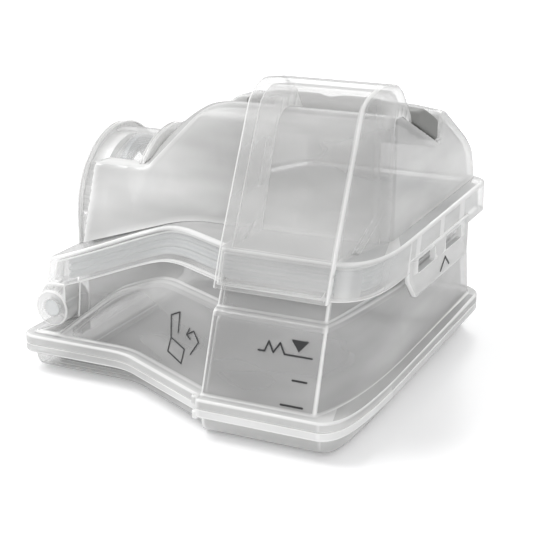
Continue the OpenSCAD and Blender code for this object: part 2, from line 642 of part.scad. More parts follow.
// ---- lid seal ----
seal_left = neck_left - 1.8 - lid_wall;
seal_bottom = rim_bottom + 1.6;
rib_depth = 0.7;
seal_back = 1.3;        // behind the latch tab the seal's face lies this far inside the tank's side
// The seal's outer face, rib by rib: how far in, and at which height
seal_face = concat([[0, seal_bottom]],
    [for (z = [1.4, 3.7], p = [[0, 0], [rib_depth, 0.3], [rib_depth, 0.7], [0, 1]])
        [p.x, seal_bottom + z + p.y]],
    [[0, rim_top - lid_wall - fit_gap]]);
module lid_seal() color([0.72, 0.75, 0.78]) difference() {
    ring_solid(concat(
        [for (p = seal_face) falling(rim_plan(lid_wall + fit_gap + p[0], p[1], seal_left), p[1])],
        [falling(neck_plan(neck_taper + wall - 0.4, neck_top), rim_top - lid_wall - fit_gap),
         falling(neck_plan(neck_taper + wall - 0.4, neck_top), neck_top + soft_gap),
         falling(neck_plan(-0.5, neck_top), neck_top + soft_gap),
         falling(neck_plan(-0.5, neck_top), seal_bottom)]));
    translate([hw - seal_back, latch_ends[0] - 1, 0]) cube([20, latch_l + 2, latch_top + 1]);
}

// ---- side latch ----
latch_bead_r = latch_t / 2;
module side_latch() color([0.86, 0.88, 0.88, 0.5]) difference() {
    union() {
        along_x(rounded([[latch_ends[0] + 7.3, latch_bottom], [latch_ends[1] - 1.4, latch_bottom],
                         [latch_ends[1], latch_bottom + 3.8], [latch_ends[1], latch_top - latch_bead_r],
                         [latch_ends[0], latch_top - latch_bead_r], [latch_ends[0], latch_bottom + 7.4]],
                        [2, 2, 2, 0, 0, 2]), latch_x, latch_x + latch_t);
        rod_y(latch_bead_r, latch_x + latch_bead_r, latch_top - latch_bead_r, latch_ends[0], latch_ends[1]);
    }
    for (y = window_y)
        translate([latch_x - 1, y, rim_bottom - 2.3]) cube([latch_t + 2, window_l, 4.5]);
}
module latch_arrow() color([0.08, 0.08, 0.08])
    translate([latch_x + latch_t + ink_gap, latch_y + 4.8, latch_bottom + 2.4])
        rotate([90, 0, 90]) linear_extrude(ink_t) polyline([[-4.2, 0], [0, 3.6], [4, 0.2]], 1);

base_tray();
tank_wall();
heater_plate();
heater_gasket();
hinge_pin_front();
hinge_pin_rear();
level_marks();
fill_pictogram();
lid_rim();
lid_dome();
thumb_grip();
lid_seal();
inlet_port();
inlet_seal();
inlet_duct();
splash_plate();
outlet_duct();
outlet_seal();
side_latch();
latch_arrow();
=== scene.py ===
# %% [markdown]
# # A clear humidifier tub
# The object is the water tub of a bedside breathing machine: a clear tank with a metal plate under it,
# a hinged clear lid with a dome and a thumb grip, and soft grey seals. The CAD model already holds its
# sizes, joints and hidden parts. This lesson gives it soft moulded edges and finishes, and lights it.

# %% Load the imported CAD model
import math
import bpy
import numpy as np
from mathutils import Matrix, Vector


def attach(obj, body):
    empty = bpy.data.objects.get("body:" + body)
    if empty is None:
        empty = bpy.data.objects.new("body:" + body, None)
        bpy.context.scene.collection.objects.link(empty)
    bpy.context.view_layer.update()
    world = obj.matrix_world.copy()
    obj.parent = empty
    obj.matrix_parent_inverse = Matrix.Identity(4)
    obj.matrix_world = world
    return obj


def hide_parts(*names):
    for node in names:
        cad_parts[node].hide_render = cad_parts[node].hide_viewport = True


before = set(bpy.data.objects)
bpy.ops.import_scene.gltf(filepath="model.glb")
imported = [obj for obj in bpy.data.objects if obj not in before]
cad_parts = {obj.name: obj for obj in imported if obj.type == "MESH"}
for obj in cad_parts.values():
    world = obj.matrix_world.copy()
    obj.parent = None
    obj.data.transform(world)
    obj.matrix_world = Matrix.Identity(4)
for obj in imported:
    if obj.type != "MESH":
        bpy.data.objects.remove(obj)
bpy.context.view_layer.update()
MM = 0.001

# %% [markdown]
# ## Camera, floor and light
# The photograph is a product shot on white, from the left front and a little above. The camera was
# found by fitting the tub's straight edges. The floor is a large plane with a soft sheen. The background
# is white to the camera and in reflections, but gives less light than that, so it doesn't bleach the
# plastic.

# %% Camera
camera = bpy.data.objects.new("camera", bpy.data.cameras.new("camera"))
bpy.context.scene.collection.objects.link(camera)
camera.location = (0.18993, -0.37686, 0.16942)
camera.rotation_euler = (math.radians(71.3), 0, math.radians(25.4))
camera.data.lens = 84.8
camera.data.sensor_width = 36
camera.data.clip_start = 0.01
bpy.context.scene.camera = camera
bpy.context.scene.view_settings.view_transform = "Standard"
bpy.context.scene.cycles.transparent_max_bounces = 48
print("camera at", [round(c, 3) for c in camera.location])

# %% [markdown]
# ## Writing shader maths as Python
# A material is a small graph of nodes. The class below wraps one output of a node and turns
# arithmetic on it into Math nodes, so that a recipe reads as a formula.


# %% A socket that can be added and multiplied
class Wire:
    """One output of a shader graph. Arithmetic with numbers or other wires adds Math nodes."""

    def __init__(self, graph, socket):
        self.graph, self.socket = graph, socket

    def maths(self, operation, other, flip=False):
        values = (other, self) if flip else (self, other)
        return self.graph.node("ShaderNodeMath", {"operation": operation}, dict(enumerate(values)))

    def __add__(self, other):
        return self.maths("ADD", other)

    def __sub__(self, other):
        return self.maths("SUBTRACT", other)

    def __rsub__(self, other):
        return self.maths("SUBTRACT", other, flip=True)

    def __mul__(self, other):
        return self.maths("MULTIPLY", other)

    def __truediv__(self, other):
        return self.maths("DIVIDE", other)

    def __pow__(self, other):
        return self.maths("POWER", other)

    def clamped(self, low, high):
        return self.maths("MAXIMUM", low).maths("MINIMUM", high)

    __radd__ = __add__
    __rmul__ = __mul__


# %% A material's graph
class Graph:
    """The node tree of one new material."""

    def __init__(self, name):
        self.material = bpy.data.materials.new(name)
        self.material.use_nodes = True
        self.tree = self.material.node_tree
        self.tree.nodes.clear()

    def node(self, kind, settings=None, inputs=None, output=0):
        """Adds a node: first its settings, then the values or wires of its inputs."""
        made = self.tree.nodes.new(kind)
        for key, value in (settings or {}).items():
            setattr(made, key, value)
        for key, value in (inputs or {}).items():
            if isinstance(value, Wire):
                self.tree.links.new(value.socket, made.inputs[key])
            else:
                made.inputs[key].default_value = value
        return Wire(self, made.outputs[output]) if output is not None else made

    def mix(self, factor, a, b):
        """A colour between a and b."""
        a, b = [(*c, 1) if isinstance(c, tuple) and len(c) == 3 else c for c in (a, b)]
        return self.node("ShaderNodeMix", {"data_type": "RGBA"}, {0: factor, 6: a, 7: b}, 2)

    def place(self):
        """The point on the object, in metres."""
        return self.node("ShaderNodeTexCoord", None, None, "Object")

    def noise(self, scale, detail=2.0, roughness=0.5, where=None):
        """Noise between 0 and 1; scale is in waves for each metre."""
        return self.node("ShaderNodeTexNoise", None, {
            "Vector": where or self.place(), "Scale": scale, "Detail": detail, "Roughness": roughness})

    def bump(self, height, depth, strength=1.0):
        """A normal that is tilted by a height from 0 to 1, over a depth in metres."""
        return self.node("ShaderNodeBump", None, {
            "Height": height, "Distance": depth, "Strength": strength})

    def done(self, surface):
        self.node("ShaderNodeOutputMaterial", None, {"Surface": surface}, None)
        return self.material


# %% Floor and background
NEAR, FADE, GLOW_NEAR, GLOW_FAR = 0.22, 0.5, 0.2, 0.4


def white_floor():
    """Diffuse white with a faint sheen. To the camera it also glows: a little near the tub, and up to
    plain white between NEAR and NEAR + FADE metres away."""
    g = Graph("studio_floor")
    body = g.node("ShaderNodeBsdfPrincipled", None, {
        "Base Color": (0.86, 0.86, 0.865, 1), "Roughness": 0.32, "Specular IOR Level": 0.32})
    seen = g.node("ShaderNodeLightPath", None, None, "Is Camera Ray")
    away = g.node("ShaderNodeVectorMath", {"operation": "LENGTH"}, {0: g.place()}, "Value")
    far = ((away - NEAR) / FADE).clamped(0.0, 1.0)
    glow = g.node("ShaderNodeEmission", None, {"Strength": seen * (far * GLOW_FAR + GLOW_NEAR)})
    return g.done(g.node("ShaderNodeAddShader", None, {0: body, 1: glow}))


def floor_mesh(half, height):
    mesh = bpy.data.meshes.new("floor")
    mesh.from_pydata([(-half, -half, height), (half, -half, height), (half, half, height),
                      (-half, half, height)], [], [(0, 1, 2, 3)])
    return mesh


floor = bpy.data.objects.new("floor", floor_mesh(30.0, -0.0002))
bpy.context.scene.collection.objects.link(floor)
floor.data.materials.append(white_floor())

AMBIENT = 0.68
world = bpy.data.worlds.new("studio")
bpy.context.scene.world = world
world.use_nodes = True
tree = world.node_tree
tree.nodes.clear()
paths, strength = tree.nodes.new("ShaderNodeLightPath"), tree.nodes.new("ShaderNodeMapRange")
strength.inputs["To Min"].default_value = AMBIENT
strength.inputs["To Max"].default_value = 1.0
seen = paths.outputs["Is Camera Ray"]
for kind in ("Is Glossy Ray", "Is Transmission Ray"):
    either = tree.nodes.new("ShaderNodeMath")
    either.operation = "MAXIMUM"
    tree.links.new(seen, either.inputs[0])
    tree.links.new(paths.outputs[kind], either.inputs[1])
    seen = either.outputs[0]
tree.links.new(seen, strength.inputs["Value"])
sky, out = tree.nodes.new("ShaderNodeBackground"), tree.nodes.new("ShaderNodeOutputWorld")
tree.links.new(strength.outputs[0], sky.inputs["Strength"])
tree.links.new(sky.outputs[0], out.inputs["Surface"])


# %% Lamps
def softbox(name, power, place, aim, width, height):
    """A rectangular area lamp at place, turned to face the point aim."""
    lamp = bpy.data.lights.new(name, "AREA")
    lamp.shape = "RECTANGLE"
    lamp.size, lamp.size_y, lamp.energy = width, height, power
    made = bpy.data.objects.new(name, lamp)
    bpy.context.scene.collection.objects.link(made)
    made.location = place
    made.rotation_euler = (Vector(aim) - Vector(place)).to_track_quat("-Z", "Y").to_euler()
    return made


softbox("key_from_upper_left", 3.6, (-0.42, -0.12, 0.62), (0, 0, 0.04), 0.35, 0.5)
softbox("back_strip", 2.2, (0.1, 0.65, 0.4), (0, 0, 0.05), 0.9, 0.2)
softbox("front_fill", 2.4, (0.5, -0.75, 0.3), (0, 0, 0.04), 0.5, 0.4)
print("floor, white background and three soft lamps")

# %% [markdown]
# ## Finishes
# Clear polycarbonate is seen through, but it is never empty: faces that are seen edge-on look white and
# dense, thick corners catch light, and a fine moulded texture softens what lies behind. A mix of a
# see-through shader and a glossy one, with a factor that grows at grazing angles, gives this without long
# glass paths. The white on edge-on faces and rounded corners is partly the glossy shader's own reflection and
# partly a painted reflection and painted highlight in the colour. The grey outlines and soft darker bands are
# painted shade.


# %% Clear plastic
# Painted light: a white highlight for rounded edges and edge-on faces, and a grey outline of shade where a
# surface turns away.
EDGE_HIGHLIGHT_WHITE, OUTLINE_SHADE_GREY = (0.92, 0.92, 0.915), (0.36, 0.36, 0.355)
# The last value here sets how dark the painted bands of shade in the colour get.
HAZE, EDGE_DENSITY, GRAZING_DENSITY, BAND_SHADE_DEPTH = 0.30, 0.8, 0.95, 0.74


def clear_plastic(name, colour, face, rough, fog=None):
    """See-through plastic. face is its opacity seen square-on. Rounded edges, marked by the piece's
    attribute, are denser and carry a painted white highlight, and faces seen edge-on take a painted white
    reflection. Where the surface curves out of sight, a painted grey outline stands for shade. Cloud noise
    varies the opacity and roughness as a haze, and also paints soft darker bands of shade into the colour.
    fog gives two places in X, in metres, and the opacity that is added between the first and the second."""
    g = Graph(name)
    grain = g.noise(900.0, 3.0, 0.6)
    bands = g.node("ShaderNodeMapping", None, {"Vector": g.place(), "Scale": (14.0, 14.0, 55.0)})
    cloud = g.noise(1.0, 2.5, 0.5, bands)
    painted_edge_mask = g.node("ShaderNodeAttribute", {"attribute_name": "edge"}, None, "Fac")
    facing = g.node("ShaderNodeLayerWeight", None, {"Blend": 0.5}, "Facing")
    grazing = facing ** 3.0
    # Painted shade: the colour turns grey where the surface turns away from the camera, most on rounded
    # edges.
    turned = ((facing - 0.62) / 0.25).clamped(0.0, 1.0) * painted_edge_mask
    turned = turned.maths("MAXIMUM", ((facing - 0.78) / 0.14).clamped(0.0, 0.85))
    # Painted shade: the stretched cloud noise darkens the colour in soft horizontal bands.
    band_shaded_tone = g.mix(((cloud - 0.35) / 0.3).clamped(0.0, 1.0), tuple(BAND_SHADE_DEPTH * c for c in colour), colour)
    # Painted highlight and painted reflection: the colour turns white on rounded edges and at grazing angles.
    highlighted_tone = g.mix((grazing * 0.6 + painted_edge_mask * 0.85).clamped(0.0, 1.0), band_shaded_tone, EDGE_HIGHLIGHT_WHITE)
    gloss = g.node("ShaderNodeBsdfPrincipled", None, {
        "Base Color": g.mix(turned, highlighted_tone, OUTLINE_SHADE_GREY),
        "Roughness": (cloud * 0.10 + (rough - 0.05)).clamped(0.03, 1.0),
        "IOR": 1.58, "Normal": g.bump(grain, 0.00002, 0.25)})
    open_air = g.node("ShaderNodeBsdfTransparent", None, {"Color": (0.99, 0.99, 0.989, 1)})
    body = grazing * (GRAZING_DENSITY - face) + face + (cloud - 0.5) * HAZE
    if fog:
        across = g.node("ShaderNodeSeparateXYZ", None, {0: g.place()}, "X")
        body = body + ((across - fog[0]) / (fog[1] - fog[0])).clamped(0.0, 1.0) * fog[2]
    solid = (body + painted_edge_mask * (EDGE_DENSITY - face)).clamped(0.02, 0.97)
    return g.done(g.node("ShaderNodeMixShader", None, {0: solid, 1: open_air, 2: gloss}))


lid_plastic = clear_plastic("clear_lid", (0.86, 0.86, 0.855), 0.20, 0.20)
dome_plastic = clear_plastic("clear_dome", (0.84, 0.84, 0.835), 0.38, 0.24, (0.005, -0.028, 0.34))
tray_plastic = clear_plastic("clear_tray", (0.76, 0.76, 0.755), 0.30, 0.18, (-0.012, 0.012, 0.34))
tub_plastic = clear_plastic("clear_tub", (0.66, 0.66, 0.655), 0.40, 0.18)
hidden_plastic = clear_plastic("clear_inner", (0.62, 0.62, 0.615), 0.20, 0.24)


# %% Silicone, pins, metal and print
def soft_silicone(name, colour, shade, face, rough, light=0.0):
    """Silicone: milky, with a satin skin, a faint cloudiness and a painted highlight: its edges are painted
    lighter by the amount light.
    """
    g = Graph(name)
    cloud = g.noise(60.0, 3.0)
    skin = g.noise(1500.0, 2.0)
    painted_edge_mask = g.node("ShaderNodeAttribute", {"attribute_name": "edge"}, None, "Fac")
    body = g.node("ShaderNodeBsdfPrincipled", None, {
        # Painted highlight: edges are mixed towards a pale grey white.
        "Base Color": g.mix(painted_edge_mask * light, g.mix(cloud, colour, shade), (0.93, 0.94, 0.945)),
        "Roughness": (cloud * 0.15 + rough).clamped(0.1, 1.0),
        "IOR": 1.42, "Normal": g.bump(skin, 0.00003, 0.3)})
    if face >= 1:
        return g.done(body)
    grazing = g.node("ShaderNodeLayerWeight", None, {"Blend": 0.4}, "Facing")
    solid = (grazing * (0.96 - face) + face).clamped(0.0, 1.0)
    open_air = g.node("ShaderNodeBsdfTransparent", None, {"Color": (0.96, 0.975, 0.985, 1)})
    return g.done(g.node("ShaderNodeMixShader", None, {0: solid, 1: open_air, 2: body}))


# The seal's edges take a painted highlight of strength 0.8.
seal_silicone = soft_silicone("seal_silicone", (0.42, 0.45, 0.47), (0.52, 0.55, 0.57), 0.74, 0.10, 0.8)
pad_silicone = soft_silicone("pad_silicone", (0.200, 0.202, 0.195), (0.235, 0.236, 0.228), 1, 0.5)
pin_plastic = soft_silicone("pin_plastic", (0.78, 0.80, 0.80), (0.84, 0.85, 0.85), 0.8, 0.22)


def brushed_plate():
    """Dull steel with fine brush lines along its length and darker blotches from heat and scale."""
    g = Graph("heater_plate_steel")
    where = g.node("ShaderNodeMapping", None, {"Vector": g.place(), "Scale": (30.0, 1600.0, 60.0)})
    lines = g.noise(1.0, 3.0, 0.6, where)
    blotch = g.noise(45.0, 4.0)
    return g.done(g.node("ShaderNodeBsdfPrincipled", None, {
        "Base Color": g.mix(blotch, (0.24, 0.24, 0.245), (0.40, 0.40, 0.405)), "Metallic": 1.0,
        "Roughness": (lines * 0.25 + 0.22).clamped(0.1, 0.8), "Normal": g.bump(lines, 0.00002, 0.4)}))


def printed_ink():
    """Black ink: matte, slightly uneven in density."""
    g = Graph("black_ink")
    patch = g.noise(3000.0, 2.0)
    return g.done(g.node("ShaderNodeBsdfPrincipled", None, {
        "Base Color": g.mix(patch, (0.012, 0.012, 0.013), (0.03, 0.03, 0.032)),
        "Roughness": (patch * 0.2 + 0.45).clamped(0.0, 1.0)}))


steel, ink = brushed_plate(), printed_ink()
print("finishes:", [m.name for m in bpy.data.materials])

# %% [markdown]
# ## The tub's plan in numpy
# Tray, tank, lid rim and seal all follow one outline: a straight left front wall, a bend, a slant, the
# flat front panel with its step, and a long sweep into the right side. It is worked out here as in the
# CAD model, but with hundreds of points, so that curves are smooth and corners can be rounded.

# %% Sizes, in millimetres, as in the CAD model
HALF_W, HALF_D = 60.0, 63.75
PANEL_LEFT, PANEL_RIGHT = 15.2, 52.0
SETBACK, SLANT, BEND_R = 22.2, math.radians(27), 25.0
CORNER_R, FRONT_R, WALL = 7.0, 2.0, 2.2
FLANGE_OUT, FLANGE_BOTTOM, JOINT_Z, FLANGE_TOP = 3.4, 6.4, 9.4, 12.5
SHOULDER_Z, LEDGE, LEAN, NECK_TOP, NECK_LEFT = 36.8, 2.6, 0.352, 46.2, -44.4
PLATE_INSET, FLOOR_Z = 5.8, 1.8
RIM_BOTTOM, RIM_TOP, RIM_OUT, RIM_LEFT, LID_WALL = 43.4, 54.2, 3.4, -52.2, 2.0
DOME_LEFT, DOME_RIGHT, DOME_FRONT, DOME_BACK, DOME_TOP = -45.4, 58.9, -28.05, 62.95, 89.0
HINGE_X, HINGE_Z, KNUCKLE_R, PIN_R = -50.9, 22.8, 6.0, 2.9
bend_dy = BEND_R * (1 - math.cos(SLANT))
BEND_X = PANEL_LEFT - (SETBACK - 3.2 - bend_dy) / math.tan(SLANT) - BEND_R * math.sin(SLANT)
BEND_Y = -HALF_D + SETBACK
FALL_X, RIM_DROP = BEND_X + 20, 12.1
FALL_W = FALL_X - NECK_LEFT
RIM_FALL = RIM_DROP / FALL_W


# %% Helpers for curves
def smooth(t):
    """0 up to t = 0, 1 from t = 1, and 3t^2 - 2t^3 between."""
    t = np.clip(t, 0, 1)
    return t * t * (3 - 2 * t)


def line(a, b, n):
    """n points from a towards b, without b."""
    t = np.arange(n)[:, None] / n
    return np.array(a) * (1 - t) + np.array(b) * t


def arc(centre, r, start, stop, n):
    """n points on a circle, from the angle start towards stop, in degrees, without the last."""
    a = np.radians(start + (stop - start) * np.arange(n) / n)
    return np.array(centre) + r * np.stack([np.cos(a), np.sin(a)], 1)


def bezier(p, n):
    """n points on the cubic curve of four control points, without the last."""
    t = (np.arange(n) / n)[:, None]
    s = 1 - t
    return s**3 * p[0] + 3 * s * s * t * p[1] + 3 * s * t * t * p[2] + t**3 * p[3]


def fall(x, start, steepness, blend):
    """A drop that grows to the left of start: zero, then a parabola over 2 blend, then a line."""
    t = start - x
    return np.where(t <= -blend, 0, np.where(t < blend, steepness * (t + blend) ** 2 / (4 * blend),
                                              steepness * t))


# %% The outline
def outline(inset, shift, left, side, back, corner):
    """Eleven runs of points, counterclockwise from the left front corner. The front is moved back by
    shift, which fades out to the left. Corners are softened by averaging each point with its
    neighbours."""
    r = max(FRONT_R - inset, 1.2)
    c, k = np.array([BEND_X, BEND_Y - BEND_R]), BEND_R + inset
    e = c + k * np.array([math.sin(SLANT), math.cos(SLANT)])
    f = np.array([PANEL_LEFT - 0.45, e[1] - (PANEL_LEFT - 0.45 - e[0]) * math.tan(SLANT)])
    front = np.concatenate([
        arc([left + r, BEND_Y + inset + r], r, 180, 270, 10),
        line([left + r, BEND_Y + inset], [BEND_X, BEND_Y + inset], 40),
        arc(c, k, 90, 90 - math.degrees(SLANT), 24), line(e, f, 48), f[None]])
    front[:, 1] += shift * smooth((front[:, 0] - NECK_LEFT + 1.5) / 36)
    side = np.array(side, float)
    start, end = np.array([PANEL_LEFT, side[0][1]]), side[3] - [1.2, 0]
    points = np.concatenate([
        front, line(front[-1], start, 9)[1:], line(start, side[0], 52), bezier(side, 84),
        line(side[3], [end[0], back - corner], 56),
        arc([end[0] - corner, back - corner], corner, 0, 90, 16),
        line([end[0] - corner, back], [left + corner, back], 84),
        arc([left + corner, back - corner], corner, 90, 180, 16),
        line([left, back - corner], [left, BEND_Y + inset + r], 76)])
    for _ in range(2):
        points = (np.roll(points, 1, 0) + 2 * points + np.roll(points, -1, 0)) / 4
    return points


def lean_at(z):
    return LEAN * (z - FLANGE_TOP)


def tray_plan(i):
    side = [[PANEL_RIGHT + 1.5 - 0.3 * i, -HALF_D + i], [HALF_W - 1.5 - 0.6 * i, -HALF_D + 1 + 0.7 * i],
            [HALF_W - 0.4 - 0.9 * i, -HALF_D + 7 + 0.4 * i], [HALF_W - 0.4 - i, -HALF_D + 34]]
    return outline(i, 0, -HALF_W + i, side, HALF_D - i, max(CORNER_R - i, 1.5))


def foot_plan(i):
    side = [[PANEL_RIGHT - 0.5 * i, -HALF_D + i], [HALF_W - 1.9 - 0.8 * i, -HALF_D + 11.2 + 0.4 * i],
            [HALF_W - 0.5 - i, -HALF_D + 31], [HALF_W - 0.5 - i, -HALF_D + 52]]
    return outline(i, 0, -HALF_W + i, side, HALF_D - i, max(CORNER_R - i, 1.5))


def top_side(i, s):
    return [[PANEL_RIGHT - 0.5 * i, -HALF_D + s + i],
            [PANEL_RIGHT + 2.3 - 0.8 * i, -HALF_D + s + 7 + 0.6 * i],
            [HALF_W - 4 - i, -HALF_D + 30], [HALF_W - 1.6 - i, -HALF_D + 52]]


def wall_plan(i, z):
    s = lean_at(z)
    return outline(i, s, -HALF_W + i, top_side(i, s), HALF_D - i, max(CORNER_R - i, 1.5))


def neck_plan(i, z):
    s, j = lean_at(z), LEDGE + i
    return outline(j, s, NECK_LEFT + i, top_side(j, s), HALF_D - j, CORNER_R - 2)


def rim_plan(i, z, left=RIM_LEFT):
    s = lean_at(z)
    side = [[PANEL_RIGHT - 0.3 * i, -HALF_D + s + i],
            [PANEL_RIGHT + 7.2 - 0.7 * i, -HALF_D + s + 1.7 + 0.8 * i],
            [HALF_W + RIM_OUT - i, -HALF_D + 0.9 * s + 9],
            [HALF_W + RIM_OUT - i, -HALF_D + 0.9 * s + 28]]
    return outline(i - 0.8, s, left + i, side, HALF_D + 1.5 - i, max(CORNER_R - i, 1.5))


# %% Heights round the outline
def lid_fall(x):
    return fall(x, FALL_X, RIM_FALL, 8)


def shoulder_at(x):
    first = fall(x, FALL_X - 3, 1.08 * RIM_FALL, 6)
    second = fall(x, FALL_X - 0.606 * FALL_W, 1.38 * RIM_FALL, 4)
    return np.maximum(SHOULDER_Z - first - second, FLANGE_TOP + 0.7)


def flat(p, z):
    return np.column_stack([p, np.full(len(p), z)])


def falling(p, z):
    return np.column_stack([p, z - lid_fall(p[:, 0])])


def on_shoulder(p, dz):
    return np.column_stack([p, np.maximum(shoulder_at(p[:, 0]) + dz, FLANGE_TOP + 0.5)])


print("outline of", len(tray_plan(0)), "points")

# %% [markdown]
# ## Ring-shaped walls
# A wall that goes all the way round is a section carried along the outline. Each corner of the section is one
# ring of points, and each corner is rounded by a short curve between its two neighbours, which is what gives
# moulded plastic its bright edge lines. Here those lines come partly from the lamps on the rounding and
# partly from a painted white highlight that follows the rounding.


# %% From rings to a mesh
def rounded_rings(rings, radii, n=4):
    """Replaces each ring by n + 1 rings on a parabola that touches both sides of the corner at its
    radius. Closed: the last ring is next to the first."""
    made = []
    for k, r in enumerate(radii):
        here = rings[k]
        if r <= 0:
            made.append(here)
            continue
        ends = []
        for other in (rings[k - 1], rings[(k + 1) % len(rings)]):
            away = other - here
            length = np.linalg.norm(away, axis=1, keepdims=True)
            ends.append(here + away * np.minimum(r / np.maximum(length, 1e-9), 0.48))
        for t in np.linspace(0, 1, n + 1):
            made.append((1 - t) ** 2 * ends[0] + 2 * t * (1 - t) * here + t * t * ends[1])
    return made


def grid_faces(m, n, closed=True):
    """Quads between m rows of n points; the rows are loops, and with closed the last row meets the
    first."""
    i, j = np.meshgrid(np.arange(m if closed else m - 1), np.arange(n), indexing="ij")
    a, b = i * n + j, i * n + (j + 1) % n
    c, d = (i + 1) % m * n + (j + 1) % n, (i + 1) % m * n + j
    return np.stack([a, b, c, d], -1).reshape(-1, 4)


def signed_volume(points, faces):
    """Sum of the tetrahedra between the origin and each face: above zero when faces point out."""
    total = 0.0
    for k in range(1, faces.shape[1] - 1):
        p, q, r = points[faces[:, 0]], points[faces[:, k]], points[faces[:, k + 1]]
        total += np.einsum("ij,ij->i", p, np.cross(q, r)).sum() / 6
    return total


def make_mesh(name, *parts):
    """One object from closed shells (points in millimetres, faces), turned to face out."""
    points, faces, loops, start = [], [], [], 0
    for p, f in parts:
        f = np.asarray(f)
        if signed_volume(p, f) < 0:
            f = f[:, ::-1]
        points.append(p)
        faces.append((f + start).ravel())
        loops += [f.shape[1]] * len(f)
        start += len(p)
    points, faces, loops = np.concatenate(points) * MM, np.concatenate(faces), np.array(loops)
    mesh = bpy.data.meshes.new(name)
    mesh.vertices.add(len(points))
    mesh.vertices.foreach_set("co", points.astype(np.float32).ravel())
    mesh.loops.add(len(faces))
    mesh.loops.foreach_set("vertex_index", faces.astype(np.int32))
    mesh.polygons.add(len(loops))
    starts = np.concatenate([[0], np.cumsum(loops)[:-1]])
    mesh.polygons.foreach_set("loop_start", starts.astype(np.int32))
    mesh.update(calc_edges=True)
    mesh.validate()
    made = bpy.data.objects.new(name, mesh)
    bpy.context.scene.collection.objects.link(made)
    return made


def ring_shell(rings, radii, n=4):
    rings = rounded_rings(rings, radii, n)
    return np.concatenate(rings), grid_faces(len(rings), len(rings[0]))


# %% Cutting and joining
def combine(target, others, operation):
    """Boolean with closed meshes, applied at once; the other objects are removed."""
    for other in others:
        m = target.modifiers.new("cut", "BOOLEAN")
        m.operation, m.solver, m.object = operation, "MANIFOLD", other
        graph = bpy.context.evaluated_depsgraph_get()
        mesh = bpy.data.meshes.new_from_object(target.evaluated_get(graph))
        target.modifiers.clear()
        old = target.data
        target.data = mesh
        bpy.data.meshes.remove(old)
        bpy.data.objects.remove(other)
    target.data.name = target.name
    return target


INNER_WEIGHT = 0.5


# The attribute written here is the mask for painted light: on it the clear plastics paint a white highlight
# and a grey outline of shade, and the seal a lighter highlight.
def mark_edges(mesh, plain=(), sharp=(0.2, 0.8), blur=0):
    """Writes the attribute "edge": how strongly a face lies on an edge. The bend between two faces is
    the angle between their normals over the distance between their middles, and counts for less at an
    inner corner; a face takes its strongest bend, in radians for each millimetre, mapped from 0 to 1
    over the range sharp. Corners take the average round their point, but large flat faces stay at 0.
    Nothing is marked inside the boxes plain, where one piece runs into the next. With blur, faces take
    the average of their corners again, so many times over."""
    n, loops = len(mesh.polygons), len(mesh.loops)
    middles, normals, areas = np.empty(n * 3), np.empty(n * 3), np.empty(n)
    mesh.polygons.foreach_get("center", middles)
    mesh.polygons.foreach_get("normal", normals)
    mesh.polygons.foreach_get("area", areas)
    middles, normals, areas = middles.reshape(-1, 3) / MM, normals.reshape(-1, 3), areas / MM**2
    edge_of, point_of = np.empty(loops, np.int32), np.empty(loops, np.int32)
    totals = np.empty(n, np.int32)
    mesh.loops.foreach_get("edge_index", edge_of)
    mesh.loops.foreach_get("vertex_index", point_of)
    mesh.polygons.foreach_get("loop_total", totals)
    face_of = np.repeat(np.arange(n), totals)
    order = np.argsort(edge_of, kind="stable")
    pairs = face_of[order].reshape(-1, 2)
    a, b = pairs.T
    gap = middles[b] - middles[a]
    distance = np.maximum(np.linalg.norm(gap, axis=1), 1e-6)
    turn = np.arccos(np.clip((normals[a] * normals[b]).sum(1), -1, 1))
    rate = turn / distance * np.where(((normals[b] - normals[a]) * gap).sum(1) > 0, 1.0, INNER_WEIGHT)
    bend = np.zeros(n)
    np.maximum.at(bend, a, rate)
    np.maximum.at(bend, b, rate)
    marked = smooth((bend - sharp[0]) / (sharp[1] - sharp[0]))
    for low, high in plain:
        marked[np.all((middles > low) & (middles < high), axis=1)] = 0
    share = np.maximum(np.bincount(point_of, minlength=len(mesh.vertices)), 1)
    for step in range(blur + 1):
        at_points = np.bincount(point_of, marked[face_of], len(mesh.vertices)) / share
        if step < blur:
            marked = np.bincount(face_of, at_points[point_of], n) / totals
    value = at_points[point_of]
    value = np.where((marked[face_of] > 0.3) | (areas[face_of] < 2.0), value, 0)
    mesh.attributes.new("edge", "FLOAT", "CORNER").data.foreach_set("value", value.astype(np.float32))


def dress(piece, material, body, slot, *nodes, angle=32, **marks):
    """Gives a piece its finish, shading and body, and hides the CAD nodes that it stands for; slot is not
    used. Large flat faces set the shading of the narrow ones beside them, so that they look flat."""
    mark_edges(piece.data, **marks)
    piece.data.materials.clear()
    piece.data.materials.append(material)
    piece.data.polygons.foreach_set("material_index", np.zeros(len(piece.data.polygons), np.int32))
    piece.data.polygons.foreach_set("use_smooth", np.ones(len(piece.data.polygons), bool))
    piece.data.set_sharp_from_angle(angle=math.radians(angle))
    flat_faces = piece.modifiers.new("flat_faces", "WEIGHTED_NORMAL")
    flat_faces.keep_sharp, flat_faces.weight = True, 100
    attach(piece, body)
    if nodes:
        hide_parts(*nodes)
    print(piece.name, len(piece.data.polygons), "faces")
    return piece


# %% [markdown]
# ## Solids of revolution, prisms, bodies between two faces and solids found by rays
# Knuckles and pins are profiles turned round an axis. Prisms are cutters and small blocks. The grip, the
# pad and the latch are bodies between two faces. The dome is bounded by many planes whose edges are all
# softly rounded: its surface is found by walking along rays from a point inside until a rounded distance
# formula reaches zero.


# %% Turned parts
def others(axis):
    return [k for k in range(3) if k != axis]


